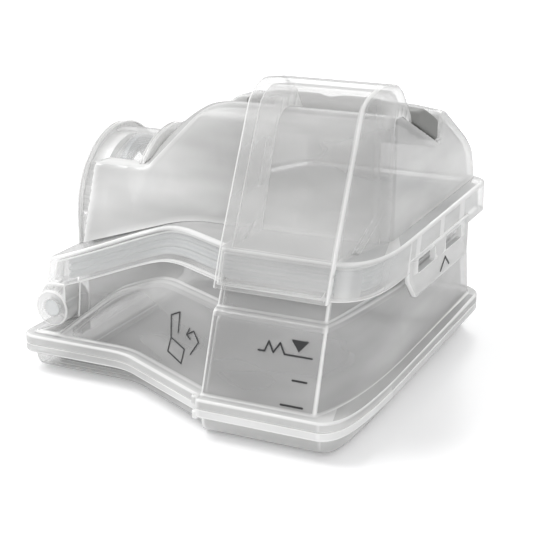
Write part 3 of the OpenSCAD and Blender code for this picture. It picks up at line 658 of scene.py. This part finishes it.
def capped(rings, tips):
    """Rings of n points from one end to the other, with a fan of triangles to a tip at each end."""
    m, n = len(rings), len(rings[0])
    quads = grid_faces(m, n, closed=False)
    here, after, last, pole = np.arange(n), (np.arange(n) + 1) % n, (m - 1) * n, m * n
    fans = [np.stack([after, here, np.full(n, pole)], 1),
            np.stack([last + here, last + after, np.full(n, pole + 1)], 1)]
    return np.concatenate([*rings, tips]), np.concatenate(
        [quads[:, [0, 1, 2]], quads[:, [0, 2, 3]]] + fans)


def disc(axis, centre, x0, x1, r, soft=0.4, n=96):
    """A closed disc or rod: a profile with rounded edges, turned round the axis."""
    quarter = np.linspace(0, math.pi / 2, 6)
    lift, drop = soft * (1 - np.sin(quarter)), soft * (1 - np.cos(quarter))
    along = np.concatenate([(x0 + lift)[::-1], x1 - lift])
    radius = np.concatenate([r - drop[::-1], r - drop])
    turn = 2 * math.pi * np.arange(n) / n
    u, v = others(axis)
    points = np.zeros((len(along), n, 3))
    points[..., axis] = along[:, None]
    points[..., u] = radius[:, None] * np.cos(turn) + centre[u]
    points[..., v] = radius[:, None] * np.sin(turn) + centre[v]
    tips = np.array([centre, centre], float)
    tips[:, axis] = x0, x1
    return capped(points, tips)


# %% Prisms
def prism(polygon, axis, a, b, soft=0.0):
    """A counterclockwise convex polygon in the plane across an axis, carried from a to b. With soft,
    the walls are drawn in by soft, and a thin lip beside each end keeps the full outline."""
    polygon = np.array(polygon, float)
    middle, plane_of = polygon.mean(0), others(axis)
    reach = np.linalg.norm(polygon - middle, axis=1, keepdims=True)
    steps = np.linspace(0, math.pi / 2, 4) if soft else np.array([math.pi / 2])
    rows = [(a + soft * (1 - math.sin(t)), soft * (1 - math.cos(t))) for t in steps]
    rows += [(b - soft * (1 - math.sin(t)), soft * (1 - math.cos(t))) for t in steps[::-1]]
    rings = []
    for along, inset in rows:
        ring = np.zeros((len(polygon), 3))
        ring[:, plane_of] = middle + (polygon - middle) * (1 - inset / reach)
        ring[:, axis] = along
        rings.append(ring)
    tips = np.zeros((2, 3))
    tips[:, plane_of] = middle
    tips[:, axis] = a, b
    return capped(rings, tips)


def block(x, y, z):
    return prism([(x[0], y[0]), (x[1], y[0]), (x[1], y[1]), (x[0], y[1])], 2, *z)


def rounded_polygon(corners, radii, n=8):
    """Replaces each corner of a polygon by n + 1 points on a parabola that touches both sides."""
    corners, made = np.array(corners, float), []
    for k, r in enumerate(radii):
        here = corners[k]
        ends = []
        for other in (corners[k - 1], corners[(k + 1) % len(corners)]):
            away = other - here
            ends.append(here + away * min(r / np.linalg.norm(away), 0.48))
        made += [(1 - t) ** 2 * ends[0] + 2 * t * (1 - t) * here + t * t * ends[1]
                 for t in np.linspace(0, 1, n + 1)]
    return np.array(made)


# %% Bodies between two faces
def outward(profile):
    """Unit normals of a counterclockwise profile, each across the line between a point's neighbours."""
    along = np.roll(profile, -1, 0) - np.roll(profile, 1, 0)
    across = np.stack([along[:, 1], -along[:, 0]], 1)
    return across / np.maximum(np.linalg.norm(across, axis=1, keepdims=True), 1e-9)


def evenly(profile, n):
    """The same closed profile with n points at equal steps along it."""
    closed = np.concatenate([profile, profile[:1]])
    way = np.concatenate([[0], np.cumsum(np.linalg.norm(np.diff(closed, axis=0), axis=1))])
    at = np.linspace(0, way[-1], n, endpoint=False)
    return np.stack([np.interp(at, way, closed[:, k]) for k in (0, 1)], 1)


def between(profile, axis, low, high, soft, rows=12, n=5):
    """A closed body: its outline across an axis is the profile, and its two faces are heights that are
    given as functions of the other two coordinates. Edges are quarter circles of radius soft."""
    plane_of, middle, normals = others(axis), profile.mean(0), outward(profile)
    turn = np.linspace(0, math.pi / 2, n)
    inner = profile - normals * soft
    spread = [(middle + (inner - middle) * s, 0.0) for s in np.linspace(0, 1, rows + 1)[1:]]
    edge = [(profile - normals * soft * (1 - math.sin(t)), soft * (1 - math.cos(t))) for t in turn[1:]]
    rings = []
    for face, sign in ((low, 1), (high, -1)):
        made = []
        for flat_ring, lift in spread + edge:
            ring = np.zeros((len(profile), 3))
            ring[:, plane_of] = flat_ring
            ring[:, axis] = face(*flat_ring.T) + sign * lift
            made.append(ring)
        rings += made[::sign]
    tips = np.zeros((2, 3))
    tips[:, plane_of] = middle
    tips[:, axis] = [float(face(*middle)) for face in (low, high)]
    return capped(rings, tips)


def level(value):
    """A flat face, as a function of two coordinates."""
    return lambda a, b: value + 0 * a


def lower_of(a, b, soft):
    """The lower of two heights, with the crease between them rounded."""
    return (a + b - np.sqrt((a - b) ** 2 + soft**2)) / 2


# %% Rounded distances
def plane(through, normal):
    """Distance in front of a plane, as a function of points."""
    normal = np.array(normal, float) / np.linalg.norm(normal)
    return lambda p: (p - np.array(through, float)) @ normal


def edge_plane(axis, a, b):
    """The plane through two points of a view across an axis; outside is on the right going a to b."""
    through, normal = np.zeros(3), np.zeros(3)
    through[others(axis)] = a
    normal[others(axis)] = b[1] - a[1], a[0] - b[0]
    return plane(through, normal)


def inside_all(r, *parts):
    """Where several bodies overlap, with edges of radius r: the largest distance, or near an edge the
    length of the vector of the distances that are above -r."""
    d = np.stack(parts)
    return np.minimum(d.max(0), -r) + np.sqrt((np.maximum(d + r, 0) ** 2).sum(0))


def inside_any(r, *parts):
    """Bodies joined, with inner corners of radius r."""
    return -inside_all(r, *[-d for d in parts])


def on_rays(distance, centre, directions, reach=150.0):
    """The points on rays from centre where distance is zero, by halving an interval."""
    low, high = np.zeros(len(directions)), np.full(len(directions), reach)
    for _ in range(34):
        half = (low + high) / 2
        out = distance(centre + directions * half[:, None]) > 0
        low, high = np.where(out, low, half), np.where(out, half, high)
    return centre + directions * ((low + high) / 2)[:, None]


# %% [markdown]
# ## Tray
# The tray is the lower half of the tub: a foot that holds the metal plate, and a flange that the tank
# is welded on. It is one section carried round the outline. A small post stands at the flange's step.

# %% Tray
TRAY_SECTION = [  # inset, height and corner radius
    (PLATE_INSET - 0.3, 0.5, 0.3), (2.6, 0.5, 0.8), (1.1, 1.2, 0.9), (0.3, 2.4, 0.9), (0, 4, 0.8),
    (0, FLANGE_BOTTOM, 0.7), (-FLANGE_OUT, FLANGE_BOTTOM + 0.1, 0.9), (-FLANGE_OUT, JOINT_Z, 0.35),
    (WALL, JOINT_Z, 0.1), (WALL, FLOOR_Z + 3, 0.9), (WALL + 1, FLOOR_Z + 2, 0.7),
    (PLATE_INSET + 5, FLOOR_Z + 2, 0.5), (PLATE_INSET + 5, FLOOR_Z, 0.1), (PLATE_INSET - 0.3, FLOOR_Z, 0.1)]
KNOB, KNOB_R = (PANEL_LEFT - 0.7, -HALF_D - 1.7, 0), 1.2


def knob(low, high):
    return make_mesh("knob", disc(2, KNOB, low, high, KNOB_R, 0.5, 32))


tray = make_mesh("tray", ring_shell([flat(tray_plan(i), z) for i, z, r in TRAY_SECTION],
                                    [r for i, z, r in TRAY_SECTION]))
combine(tray, [knob(FLANGE_BOTTOM - 0.6, JOINT_Z - 1)], "UNION")
dress(tray, tray_plastic, "base", "clear_tub", "base_tray")

# %% [markdown]
# ## Tank
# The tank's front leans back, its shoulder falls steeply at the left, and a thin neck stands on the
# shoulder for the lid to close on. Two ears at the left carry the hinge pins, and two small catches at
# the right meet the latch tab.

# %% Tank
NECK_TAPER = 0.8
tank = make_mesh("tank", ring_shell(
    [flat(tray_plan(-FLANGE_OUT), JOINT_Z + 0.1), flat(tray_plan(-FLANGE_OUT), FLANGE_TOP),
     flat(foot_plan(0), FLANGE_TOP + 0.1), on_shoulder(wall_plan(0.2, SHOULDER_Z - 1.2), -1.2),
     on_shoulder(wall_plan(1.0, SHOULDER_Z - 0.1), -0.1), on_shoulder(neck_plan(0, SHOULDER_Z), 0.1),
     falling(neck_plan(NECK_TAPER, NECK_TOP), NECK_TOP),
     falling(neck_plan(NECK_TAPER + WALL, NECK_TOP), NECK_TOP),
     on_shoulder(neck_plan(WALL, SHOULDER_Z), -WALL),
     on_shoulder(wall_plan(WALL + 0.4, SHOULDER_Z - 1.8), -WALL - 1.6),
     flat(foot_plan(WALL), FLANGE_TOP - 1), flat(tray_plan(WALL), JOINT_Z + 0.1)],
    [0.35, 0.9, 0.8, 0.7, 0.9, 0.6, 0.5, 0.5, 0.8, 1.5, 1.0, 0.1]))
HINGE, EAR_R, EAR_FOOT = (HINGE_X, 0, HINGE_Z), PIN_R + 2.6, 3.0
front_ear = (-HALF_D + 29.5, -HALF_D + 34.5)
rear_ear = (HALF_D - 34.5, HALF_D - 29.5)
added = []
for y0, y1 in (front_ear, rear_ear):
    left, right, low = HINGE_X - EAR_FOOT, HINGE_X + EAR_R, FLANGE_TOP - 1
    added.append(make_mesh("ear", disc(1, HINGE, y0, y1, EAR_R)))
    added.append(make_mesh("ear_foot", prism(
        [(left, low), (right, low), (right, HINGE_Z), (left, HINGE_Z)], 1, y0 + 0.02, y1 - 0.02, 0.4)))
WINDOW_L, WINDOW_GAP, LUG_L, LATCH_Y = 15.6, 11.0, 12.0, 11.0
windows = [LATCH_Y - WINDOW_GAP / 2 - WINDOW_L, LATCH_Y + WINDOW_GAP / 2]
lug_root = HALF_W - 5.2
catch_profile = rounded_polygon(
    [(lug_root - 1, RIM_BOTTOM - 1.8), (lug_root + 3.6, RIM_BOTTOM - 1),
     (lug_root + 3.6, RIM_BOTTOM - 0.2), (lug_root - 1, RIM_BOTTOM + 1)], [0.1, 0.5, 0.5, 0.1], 4)
for y in windows:
    start = y + (WINDOW_L - LUG_L) / 2
    added.append(make_mesh("catch", prism(catch_profile, 1, start, start + LUG_L, 0.4)))
added.append(knob(JOINT_Z + 1, FLANGE_TOP + 0.7))
combine(tank, added, "UNION")
combine(tank, [make_mesh("pin_hole", disc(1, HINGE, -HALF_D, HALF_D, PIN_R + 0.02))], "DIFFERENCE")
dress(tank, tub_plastic, "base", "clear_tub", "tank_wall")

# %% Hinge pins
for end, (y0, y1) in {"front": (-HALF_D + 20.6, front_ear[1]), "rear": (rear_ear[0], HALF_D - 20.6)}.items():
    pin = make_mesh("pin_" + end, disc(1, HINGE, y0, y1, PIN_R, 0.6))
    dress(pin, pin_plastic, "base", "pin_plastic", "hinge_pin_" + end)

# %% [markdown]
# ## Lid rim
# The rim overhangs the neck like the edge of a box lid and falls to the left with it. Its left end
# leans outwards and carries two knuckles, which turn on the pins. Its ledge ends at the dome's foot.

# %% Dome outline
DOME_R = 4.0
DOME_RIGHT_BACK = HALF_W - 2.6


def dome_foot():
    """The dome's foot, with as many points as the rim's outline and in step with it."""
    right, front, left, back = DOME_RIGHT, DOME_FRONT, DOME_LEFT, DOME_BACK
    side = [[PANEL_RIGHT, -HALF_D], [60, -60], [HALF_W, -50], [HALF_W, -30]]
    run = np.maximum.accumulate(outline(0, 0, RIM_LEFT, side, HALF_D, 7)[50:131, 0])
    corner = [np.array(q) for q in ([PANEL_RIGHT, front], [right - 2, front], [right, front + 2],
                                    [right, front + 14])]
    return np.concatenate([
        arc([left + DOME_R, front + DOME_R], DOME_R, 180, 270, 10),
        line([left + DOME_R, front], [BEND_X, front], 40),
        np.stack([run, np.full(len(run), front)], 1),
        line([PANEL_LEFT, front], [PANEL_RIGHT, front], 52), bezier(corner, 84),
        line([right, front + 14], [DOME_RIGHT_BACK, back - DOME_R], 56),
        arc([DOME_RIGHT_BACK - DOME_R, back - DOME_R], DOME_R, 0, 90, 16),
        line([DOME_RIGHT_BACK - DOME_R, back], [left + DOME_R, back], 84),
        arc([left + DOME_R, back - DOME_R], DOME_R, 90, 180, 16),
        line([left, back - DOME_R], [left, front + DOME_R], 76)])


assert len(rim_plan(0, RIM_TOP)) == len(dome_foot())
print("dome foot of", len(dome_foot()), "points")

# %% Lid rim
ARM_LEFT = RIM_LEFT - 2.4
rim = make_mesh("rim", ring_shell(
    [falling(rim_plan(0, RIM_BOTTOM, ARM_LEFT), RIM_BOTTOM), falling(rim_plan(0, RIM_TOP), RIM_TOP),
     falling(dome_foot(), RIM_TOP), falling(dome_foot(), RIM_TOP - LID_WALL),
     falling(rim_plan(LID_WALL, RIM_TOP - LID_WALL), RIM_TOP - LID_WALL),
     falling(rim_plan(LID_WALL, RIM_BOTTOM, ARM_LEFT), RIM_BOTTOM)],
    [0.6, 1.3, 0.05, 0.05, 0.7, 0.6]))
web_left, web_right = HINGE_X - KNUCKLE_R + 1, NECK_LEFT - 1.2
arm_top = RIM_BOTTOM - float(lid_fall(np.array([NECK_LEFT]))[0]) + 0.3
web_profile = evenly(rounded_polygon(
    [(web_left, HINGE_Z), (web_right, HINGE_Z), (web_right, arm_top), (web_left + 3.2, arm_top),
     (web_left - 0.3, HINGE_Z + 2.4)], [0.3, 0.3, 0.3, 2.0, 1.5]), 120)
arms = []
for y0, y1 in ((-HALF_D + 20.2, -HALF_D + 29.2), (HALF_D - 29.2, HALF_D - 20.2)):
    arms.append(make_mesh("knuckle", disc(1, HINGE, y0, y1, KNUCKLE_R, 0.6)))
    arms.append(make_mesh("web", between(web_profile, 1, level(y0 + 0.5), level(y1 - 0.5), 0.4, 6)))
combine(rim, arms, "UNION")
LATCH_L, LATCH_T, LATCH_BOTTOM = 59.0, 1.7, 33.0
LATCH_X, LATCH_TOP = HALF_W + RIM_OUT - LATCH_T - 0.5, RIM_BOTTOM + 3.8
latch_ends = (LATCH_Y - LATCH_L / 2, LATCH_Y + LATCH_L / 2)
latch_room = block((HALF_W - 3, HALF_W + 17), (latch_ends[0] - 0.3, latch_ends[1] + 0.3),
                   (0, LATCH_TOP + 0.3))
combine(rim, [make_mesh("bore", disc(1, HINGE, -HALF_D, HALF_D, PIN_R + 0.05)),
              make_mesh("latch_room", latch_room)], "DIFFERENCE")
dress(rim, lid_plastic, "lid", "clear_lid", "lid_rim")

# %% [markdown]
# ## Dome
# The dome is one blow of clear plastic: a leaning front, a roof that runs down a slope to a low box at
# the left, a deck behind the roof that falls to the back for the outlet's pad, and a rear hump. All of
# these are planes with rounded edges.

# %% The dome as a formula
SHELF_Z, SLOPE_FOOT, SLOPE_TOP = 68.0, DOME_LEFT + 11, DOME_LEFT + 28
DECK = ((-5, DOME_TOP - 0.6), (28, DOME_TOP - 15.4))
BACK_ROOF, BROW, SKEW = DOME_TOP - 5.5, math.radians(35), math.radians(28)
front_face = edge_plane(0, (DOME_FRONT + 12.5, DOME_TOP), (DOME_FRONT, RIM_TOP))
brow_face = plane((0, DOME_FRONT + 12.5 + 0.6, DOME_TOP - 2.1), (0, -math.sin(BROW), math.cos(BROW)))
roof_face = plane((0, 0, DOME_TOP), (0, 0, 1))
right_face = plane((DOME_RIGHT, -14, RIM_TOP), (1, 0.0205, 0.11))
corner_face = plane((DOME_RIGHT - 2.3, DOME_FRONT + 2.3, RIM_TOP), (0.72, -0.66, 0.30))
left_face = plane((DOME_LEFT, 0, 0), (-1, 0, 0))
back_faces = [edge_plane(0, a, b) for a, b in (
    ((DOME_BACK, 40), (DOME_BACK, 64)), ((DOME_BACK, 64), (DOME_BACK - 6, 72.6)),
    ((DOME_BACK - 6, 72.6), (DOME_BACK - 14, BACK_ROOF - 2)))]
rear_chamfer = plane((56.2, DOME_BACK, 66), (0.348, 0.477, 0.807))
rear_roof = edge_plane(0, (DOME_BACK - 14, BACK_ROOF - 2), (30.2, BACK_ROOF))
riser = edge_plane(0, (30.2, BACK_ROOF), (28, DECK[1][1]))
deck = edge_plane(0, DECK[1], DECK[0])
slope = edge_plane(1, (SLOPE_TOP, DOME_TOP), (SLOPE_FOOT, SHELF_Z))
cheek = plane((DOME_LEFT + 20, DOME_FRONT + 5, SHELF_Z), (-1.05 * math.cos(SKEW), -1.05 * math.sin(SKEW), 1))
shelf = plane((0, 0, SHELF_Z), (0, 0, 1))


def dome_body(p):
    """Inside every outer face; the crown is the roof, slope and cheek joined with the low box, and
    the deck is joined with the rear hump."""
    crown = inside_all(3, inside_all(14, roof_face(p), slope(p)), cheek(p))
    crown = inside_any(1.0, shelf(p), crown)
    rear = inside_any(1.5, deck(p), inside_all(1.5, riser(p), rear_roof(p)))
    back = inside_all(2.5, *[f(p) for f in back_faces], rear_chamfer(p))
    return inside_all(1.1, front_face(p), brow_face(p), right_face(p), corner_face(p), left_face(p),
                      back, crown, rear)


# %% Dome shell
DOME_CENTRE = np.array([8.0, 40.0, 45.0])


def dome_shell(distance, n, m, foot_drop):
    """A closed cap: n rays from the centre, aimed at the dome's foot and turned up in m steps to
    straight above, with a fan across the foot."""
    aim = dome_foot()
    pick = np.linspace(0, len(aim), n, endpoint=False)
    closed = np.concatenate([aim, aim[:1]])
    whole, part = pick.astype(int), (pick % 1)[:, None]
    aim = closed[whole] * (1 - part) + closed[whole + 1] * part
    start = falling(aim, RIM_TOP + foot_drop) - DOME_CENTRE
    start /= np.linalg.norm(start, axis=1, keepdims=True)
    up = np.array([0, 0, 1.0])
    t = (np.arange(m) / m)[:, None, None] ** 0.9
    angle = np.arccos(np.clip(start @ up, -1, 1))[None, :, None]
    rays = (np.sin((1 - t) * angle) * start[None] + np.sin(t * angle) * up) / np.sin(angle)
    rows = on_rays(distance, DOME_CENTRE, rays.reshape(-1, 3))
    top = on_rays(distance, DOME_CENTRE, up[None])
    low = rows[:n].mean(0)
    here, after = np.arange(n), (np.arange(n) + 1) % n
    quads = grid_faces(m, n, closed=False)
    fans = [np.stack([(m - 1) * n + here, (m - 1) * n + after, np.full(n, m * n)], 1),
            np.stack([after, here, np.full(n, m * n + 1)], 1)]
    return np.concatenate([rows, top, low[None]]), np.concatenate(
        [quads[:, [0, 1, 2]], quads[:, [0, 2, 3]]] + fans)


def dome_cutter(offset, n=240, m=90):
    """The dome's body, grown or shrunk by an offset, down to below its foot."""
    return make_mesh("dome_cutter", dome_shell(lambda p: dome_body(p) + offset, n, m, -1.5))


def arch_outline(r, foot=20.0, n=72):
    """The inlet's arch in Y and Z: half a circle on two straight legs."""
    y, z = 1.5, 49.3
    return np.concatenate([[[y + r, foot]], arc([y, z], r, 0, 180, n), [[y - r, z], [y - r, foot]]])


def arch(name, r, x0, x1, soft=0.0, foot=20.0):
    return make_mesh(name, prism(arch_outline(r, foot), 0, x0, x1, soft))


def outlet_cutter():
    return make_mesh("outlet", disc(2, (27.0, 15.5, 0.0), 40, 140, 10.0 + LID_WALL + 0.1))


INLET_R, INLET_LEFT, INLET_RIGHT = 25.5, DOME_LEFT - 6, SLOPE_FOOT + 6
dome = make_mesh("dome", dome_shell(dome_body, 430, 150, 0.1))
combine(dome, [dome_cutter(LID_WALL, 220, 80), arch("arch", INLET_R + 0.1, -120, INLET_RIGHT + 0.1),
               outlet_cutter()], "DIFFERENCE")
dress(dome, dome_plastic, "lid", "clear_lid", "lid_dome", angle=40, plain=[((48, -40, 40), (70, -6, 95))],
      sharp=(0.4, 1.4), blur=1)

# %% [markdown]
# ## Thumb grip
# The grip is a hollow clear box that leans back over the front of the dome. Its front face runs down
# over the rim as a thin apron. Its outline is drawn from the side; its left face is upright, and its
# right face flares out from the front panel and then leans in.

# %% Grip
GRIP_TOP, GRIP_BEND, GRIP_BACK, GRIP_SKIN = 100.2, -HALF_D + 33.5, 2.8, 1.6
GRIP_FRONT = -HALF_D + lean_at(RIM_TOP) - 0.9 - GRIP_SKIN
GRIP_LEAN = (GRIP_BEND - GRIP_FRONT) / (GRIP_TOP - 2 - RIM_TOP)
APRON_BOTTOM = RIM_BOTTOM - 0.4


def apron_at(z, depth=GRIP_SKIN):
    return -HALF_D + lean_at(z) - 0.9 - depth


def grip_right(y, z):
    """The right face: it widens with the depth behind the front face, and leans in with height."""
    front = GRIP_FRONT + np.clip(z - RIM_TOP + 1, 0, GRIP_TOP - RIM_TOP - 2) * GRIP_LEAN
    flare = PANEL_RIGHT + 0.2 + np.maximum(y - front, 0) * 0.255
    lean = DOME_RIGHT - 0.11 * (z - RIM_TOP) - 0.024 * np.maximum(y + 24, 0)
    return lower_of(flare, lean, 1.2)


grip_profile = evenly(rounded_polygon(
    [(apron_at(APRON_BOTTOM), APRON_BOTTOM), (GRIP_BACK, APRON_BOTTOM), (GRIP_BACK, 87.4),
     (-2.6, GRIP_TOP - 4.5), (-6.6, GRIP_TOP - 2), (GRIP_BEND + 9, GRIP_TOP), (GRIP_BEND, GRIP_TOP - 3),
     (GRIP_FRONT, RIM_TOP - 1)],
    [0.8, 0.5, 1.0, 0.9, 0.9, 2.5, 4.4, 4.0]), 420)
grip = make_mesh("grip", between(grip_profile, 0, level(PANEL_LEFT), grip_right, 0.9, 16))
grip_hollow = make_mesh("grip_hollow", between(
    grip_profile - outward(grip_profile) * 2.0, 0, level(PANEL_LEFT + 3),
    lambda y, z: grip_right(y, z) - 2, 0.6, 10))
rim_room = make_mesh("rim_room", prism(
    [(apron_at(20, 0), 20), (60, 20), (60, RIM_TOP + 0.1), (apron_at(RIM_TOP + 0.1, 0), RIM_TOP + 0.1)],
    0, -20, 90))
combine(grip, [grip_hollow, rim_room, dome_cutter(-0.1)], "DIFFERENCE")
dress(grip, lid_plastic, "lid", "clear_lid", "thumb_grip", angle=40, plain=[((40, -26, 40), (70, 10, 86))])

# %% [markdown]
# ## Seal, inlet, pad and latch
# The seal is a ribbed silicone ring between neck and rim. The inlet is an arched shroud with a lip, a
# collar against the dome and a wall with a round hole. The dark pad lies on the deck, and the latch tab
# hangs from the rim at the right.

# %% Seal
SEAL_BOTTOM, SEAL_LEFT = RIM_BOTTOM + 1.6, NECK_LEFT - 1.8 - LID_WALL
LOBES, LOBE_ROWS, RIB = 3, 8, 1.0
seal_top, seal_gap = RIM_TOP - LID_WALL - 0.1, LID_WALL + 0.1
steps = np.linspace(0, LOBES, LOBES * LOBE_ROWS + 1)
depths = RIB * (1 - np.sqrt(1 - (1.92 * (steps % 1) - 0.96) ** 2))
face = list(zip(depths, SEAL_BOTTOM + (seal_top - SEAL_BOTTOM) / LOBES * steps))
inner_edge = neck_plan(NECK_TAPER + WALL - 0.4, NECK_TOP)
seal = make_mesh("seal", ring_shell(
    [falling(rim_plan(seal_gap + depth, z, SEAL_LEFT), z) for depth, z in face]
    + [falling(inner_edge, seal_top), falling(inner_edge, NECK_TOP + 0.3),
       falling(neck_plan(-0.5, NECK_TOP), NECK_TOP + 0.3), falling(neck_plan(-0.5, NECK_TOP), SEAL_BOTTOM)],
    [0.0] * len(face) + [0.4, 0.3, 0.3, 0.3], 3))
latch_side = block((HALF_W - 1.3, HALF_W + 20), (latch_ends[0] - 1, latch_ends[1] + 1), (-1, LATCH_TOP + 1))
combine(seal, [make_mesh("latch_side", latch_side)], "DIFFERENCE")
dress(seal, seal_silicone, "lid", "silicone", "lid_seal", angle=60)

# %% Inlet
INLET_HOLE, HOLE_R = (0, 1.5, 57.0), 13.5


def under_rim(x):
    """Just above the rim's top face, left of where it starts to fall."""
    return RIM_TOP + 0.1 - float(lid_fall(np.array([x]))[0])


inlet = arch("inlet", INLET_R, INLET_LEFT, INLET_RIGHT, 0.5)
collar = arch("collar", INLET_R + 3, INLET_RIGHT - 2, INLET_RIGHT, 0.6)
combine(collar, [dome_cutter(-0.1)], "DIFFERENCE")
combine(inlet, [arch("lip", INLET_R + 1.5, INLET_LEFT, INLET_LEFT + 2, 0.7), collar], "UNION")
combine(inlet, [
    arch("mouth", INLET_R - LID_WALL, -120, DOME_LEFT, foot=10),
    arch("tunnel", INLET_R - LID_WALL, DOME_LEFT + LID_WALL, 0, foot=10),
    dome_cutter(LID_WALL), make_mesh("hole", disc(0, INLET_HOLE, -90, -20, HOLE_R)),
    make_mesh("rim_side", prism(
        [(-120, -40), (-20, -40), (-20, under_rim(-20)), (-120, under_rim(-120))], 1, -90, 90))],
    "DIFFERENCE")
dress(inlet, lid_plastic, "lid", "clear_lid", "inlet_port", angle=40)

# %% Pad
PAD_X, PAD_Y, PAD_T = (SLOPE_TOP + 13.4, DOME_RIGHT - 3.2), (3.4, 28.0), 7.0


def deck_at(x, y):
    """The deck's height with the pad's small lift."""
    return np.interp(y, [DECK[0][0], DECK[1][0]], [DECK[0][1], DECK[1][1]]) + 0.35


def pad_top(x, y):
    """Parallel to the deck, but crowned: lower at both ends of the pad."""
    t = (x - PAD_X[0]) / (PAD_X[1] - PAD_X[0])
    crown = DOME_TOP + 3.0 - 4.0 * smooth((0.26 - t) / 0.26) - 4.0 * smooth((t - 0.7) / 0.3)
    return lower_of(deck_at(x, y) + PAD_T, crown, 0.8)


pad_profile = evenly(rounded_polygon(
    [(PAD_X[0], PAD_Y[0]), (PAD_X[1], PAD_Y[0]), (PAD_X[1], PAD_Y[1]), (PAD_X[0], PAD_Y[1])], [4.0] * 4), 360)
pad = make_mesh("pad", between(pad_profile, 2, deck_at, pad_top, 1.2, 30))
combine(pad, [outlet_cutter()], "DIFFERENCE")
dress(pad, pad_silicone, "lid", "dark_pad", "outlet_seal", angle=40)

# %% Latch
near, far = latch_ends
latch_profile = evenly(rounded_polygon(
    [(near + 7.3, LATCH_BOTTOM), (far - 1.4, LATCH_BOTTOM), (far, LATCH_BOTTOM + 3.8),
     (far, LATCH_TOP), (near, LATCH_TOP), (near, LATCH_BOTTOM + 7.4)],
    [1.6, 1.2, 1.2, 0.6, 0.6, 1.6]), 360)
latch = make_mesh("latch", between(latch_profile, 0, level(LATCH_X), level(LATCH_X + LATCH_T), 0.7, 10))
holes = []
for y in windows:
    low, high = RIM_BOTTOM - 2.3, RIM_BOTTOM + 2.2
    window = evenly(rounded_polygon(
        [(y, low), (y + WINDOW_L, low), (y + WINDOW_L, high), (y, high)], [0.7] * 4), 80)
    holes.append(make_mesh("window", between(
        window, 0, level(LATCH_X - 2), level(LATCH_X + LATCH_T + 2), 0.1, 3)))
combine(latch, holes, "DIFFERENCE")
dress(latch, lid_plastic, "latch", "clear_lid", "side_latch")

# %% [markdown]
# ## Printed marks
# The marks are thin strokes of ink just in front of the walls: a full mark with a wave and a triangle,
# two lower lines, a drawing of an opened tub and an arrow on the latch. Each stroke is a flat bar with
# round ends, drawn in the wall's own plane and then turned with the wall.

# %% Strokes of ink
INK_T, INK_GAP = 0.12, 0.1
THIN, MIDDLE, LEVEL_LINE, ARROW_LINE = 0.42, 0.52, 0.58, 0.7


def ink_body(profile, rows):
    return between(profile, 1, level(-INK_T - INK_GAP), level(-INK_GAP), 0.03, rows, 2)


def stroke(a, b, width):
    """A flat bar with round ends from a to b."""
    a, b = np.array(a, float), np.array(b, float)
    start = math.degrees(math.atan2(*(b - a)[::-1]))
    return ink_body(np.concatenate([arc(b, width / 2, start - 90, start + 112.5, 9),
                                    arc(a, width / 2, start + 90, start + 292.5, 9)]), 1)


def polyline(width, *points):
    return [stroke(a, b, width) for a, b in zip(points[:-1], points[1:])]


def printed(name, node, body, strokes, through, turn, tilt):
    """Turns shells that are drawn in X and Z back by tilt and then about Z by turn, and moves them to the
    point through."""
    back = np.array([[1, 0, 0], [0, math.cos(tilt), math.sin(tilt)], [0, -math.sin(tilt), math.cos(tilt)]])
    cos, sin = math.cos(turn), math.sin(turn)
    round_z = np.array([[cos, sin, 0], [-sin, cos, 0], [0, 0, 1]])
    shells = [(points @ (round_z @ back).T + np.array(through), faces) for points, faces in strokes]
    dress(make_mesh(name, *shells), ink, body, "black_print", node)


right, top = PANEL_RIGHT - PANEL_LEFT - 3.2, 16.2
triangle = np.array([[right - 4.3, top + 1.2], [right - 1.5, top + 4.6], [right - 7.1, top + 4.6]])
level_lines = [
    *polyline(MIDDLE, (right, top), (right - 8.6, top), (right - 10.4, top + 3), (right - 12.2, top),
              (right - 14, top + 3), (right - 15, top), (right - 17, top)),
    *polyline(LEVEL_LINE, (right - 5, 9.2), (right - 0.6, 9.2)),
    *polyline(LEVEL_LINE, (right - 7.6, 1.8), (right - 0.8, 1.8)), ink_body(evenly(triangle, 45), 2)]
printed("level_lines", "level_marks", "base", level_lines, (PANEL_LEFT, -HALF_D, FLANGE_TOP), 0,
        math.atan(LEAN))
drawing_x = PANEL_LEFT - 21
drawing_y = BEND_Y - bend_dy - (drawing_x - BEND_X - BEND_R * math.sin(SLANT)) * math.tan(SLANT)
drawing = [
    *polyline(THIN, (1, 5.5), (9, 4), (9, 8.5), (1, 10), (1, 5.5)),
    *polyline(THIN, (1, 10), (-1.5, 16.5), (2.5, 18.5), (4, 12.4)),
    *polyline(THIN, (12.5, 8), (15, 12.5), (11.5, 15), (8.4, 13)),
    *polyline(THIN, (10.6, 12.2), (8.4, 13), (9.2, 15.2))]
printed("opened_tub_drawing", "fill_pictogram", "base", drawing, (drawing_x, drawing_y, FLANGE_TOP),
        SLANT, math.atan(LEAN * math.cos(SLANT)))
printed("arrow", "latch_arrow", "latch", polyline(ARROW_LINE, (-4.2, 0), (0, 3.6), (4, 0.2)),
        (LATCH_X + LATCH_T, LATCH_Y + 4.8, LATCH_BOTTOM + 2.4), math.radians(-90), 0)

# %% Pieces that stay as in the CAD model
for name, finish in {
        "heater_plate": steel, "heater_gasket": seal_silicone, "inlet_seal": seal_silicone,
        "inlet_duct": hidden_plastic, "splash_plate": hidden_plastic, "outlet_duct": hidden_plastic}.items():
    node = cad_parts[name]
    if not node.material_slots:
        node.data.materials.append(finish)
    for place in node.material_slots:
        place.material = finish
    print(name, "in", finish.name)
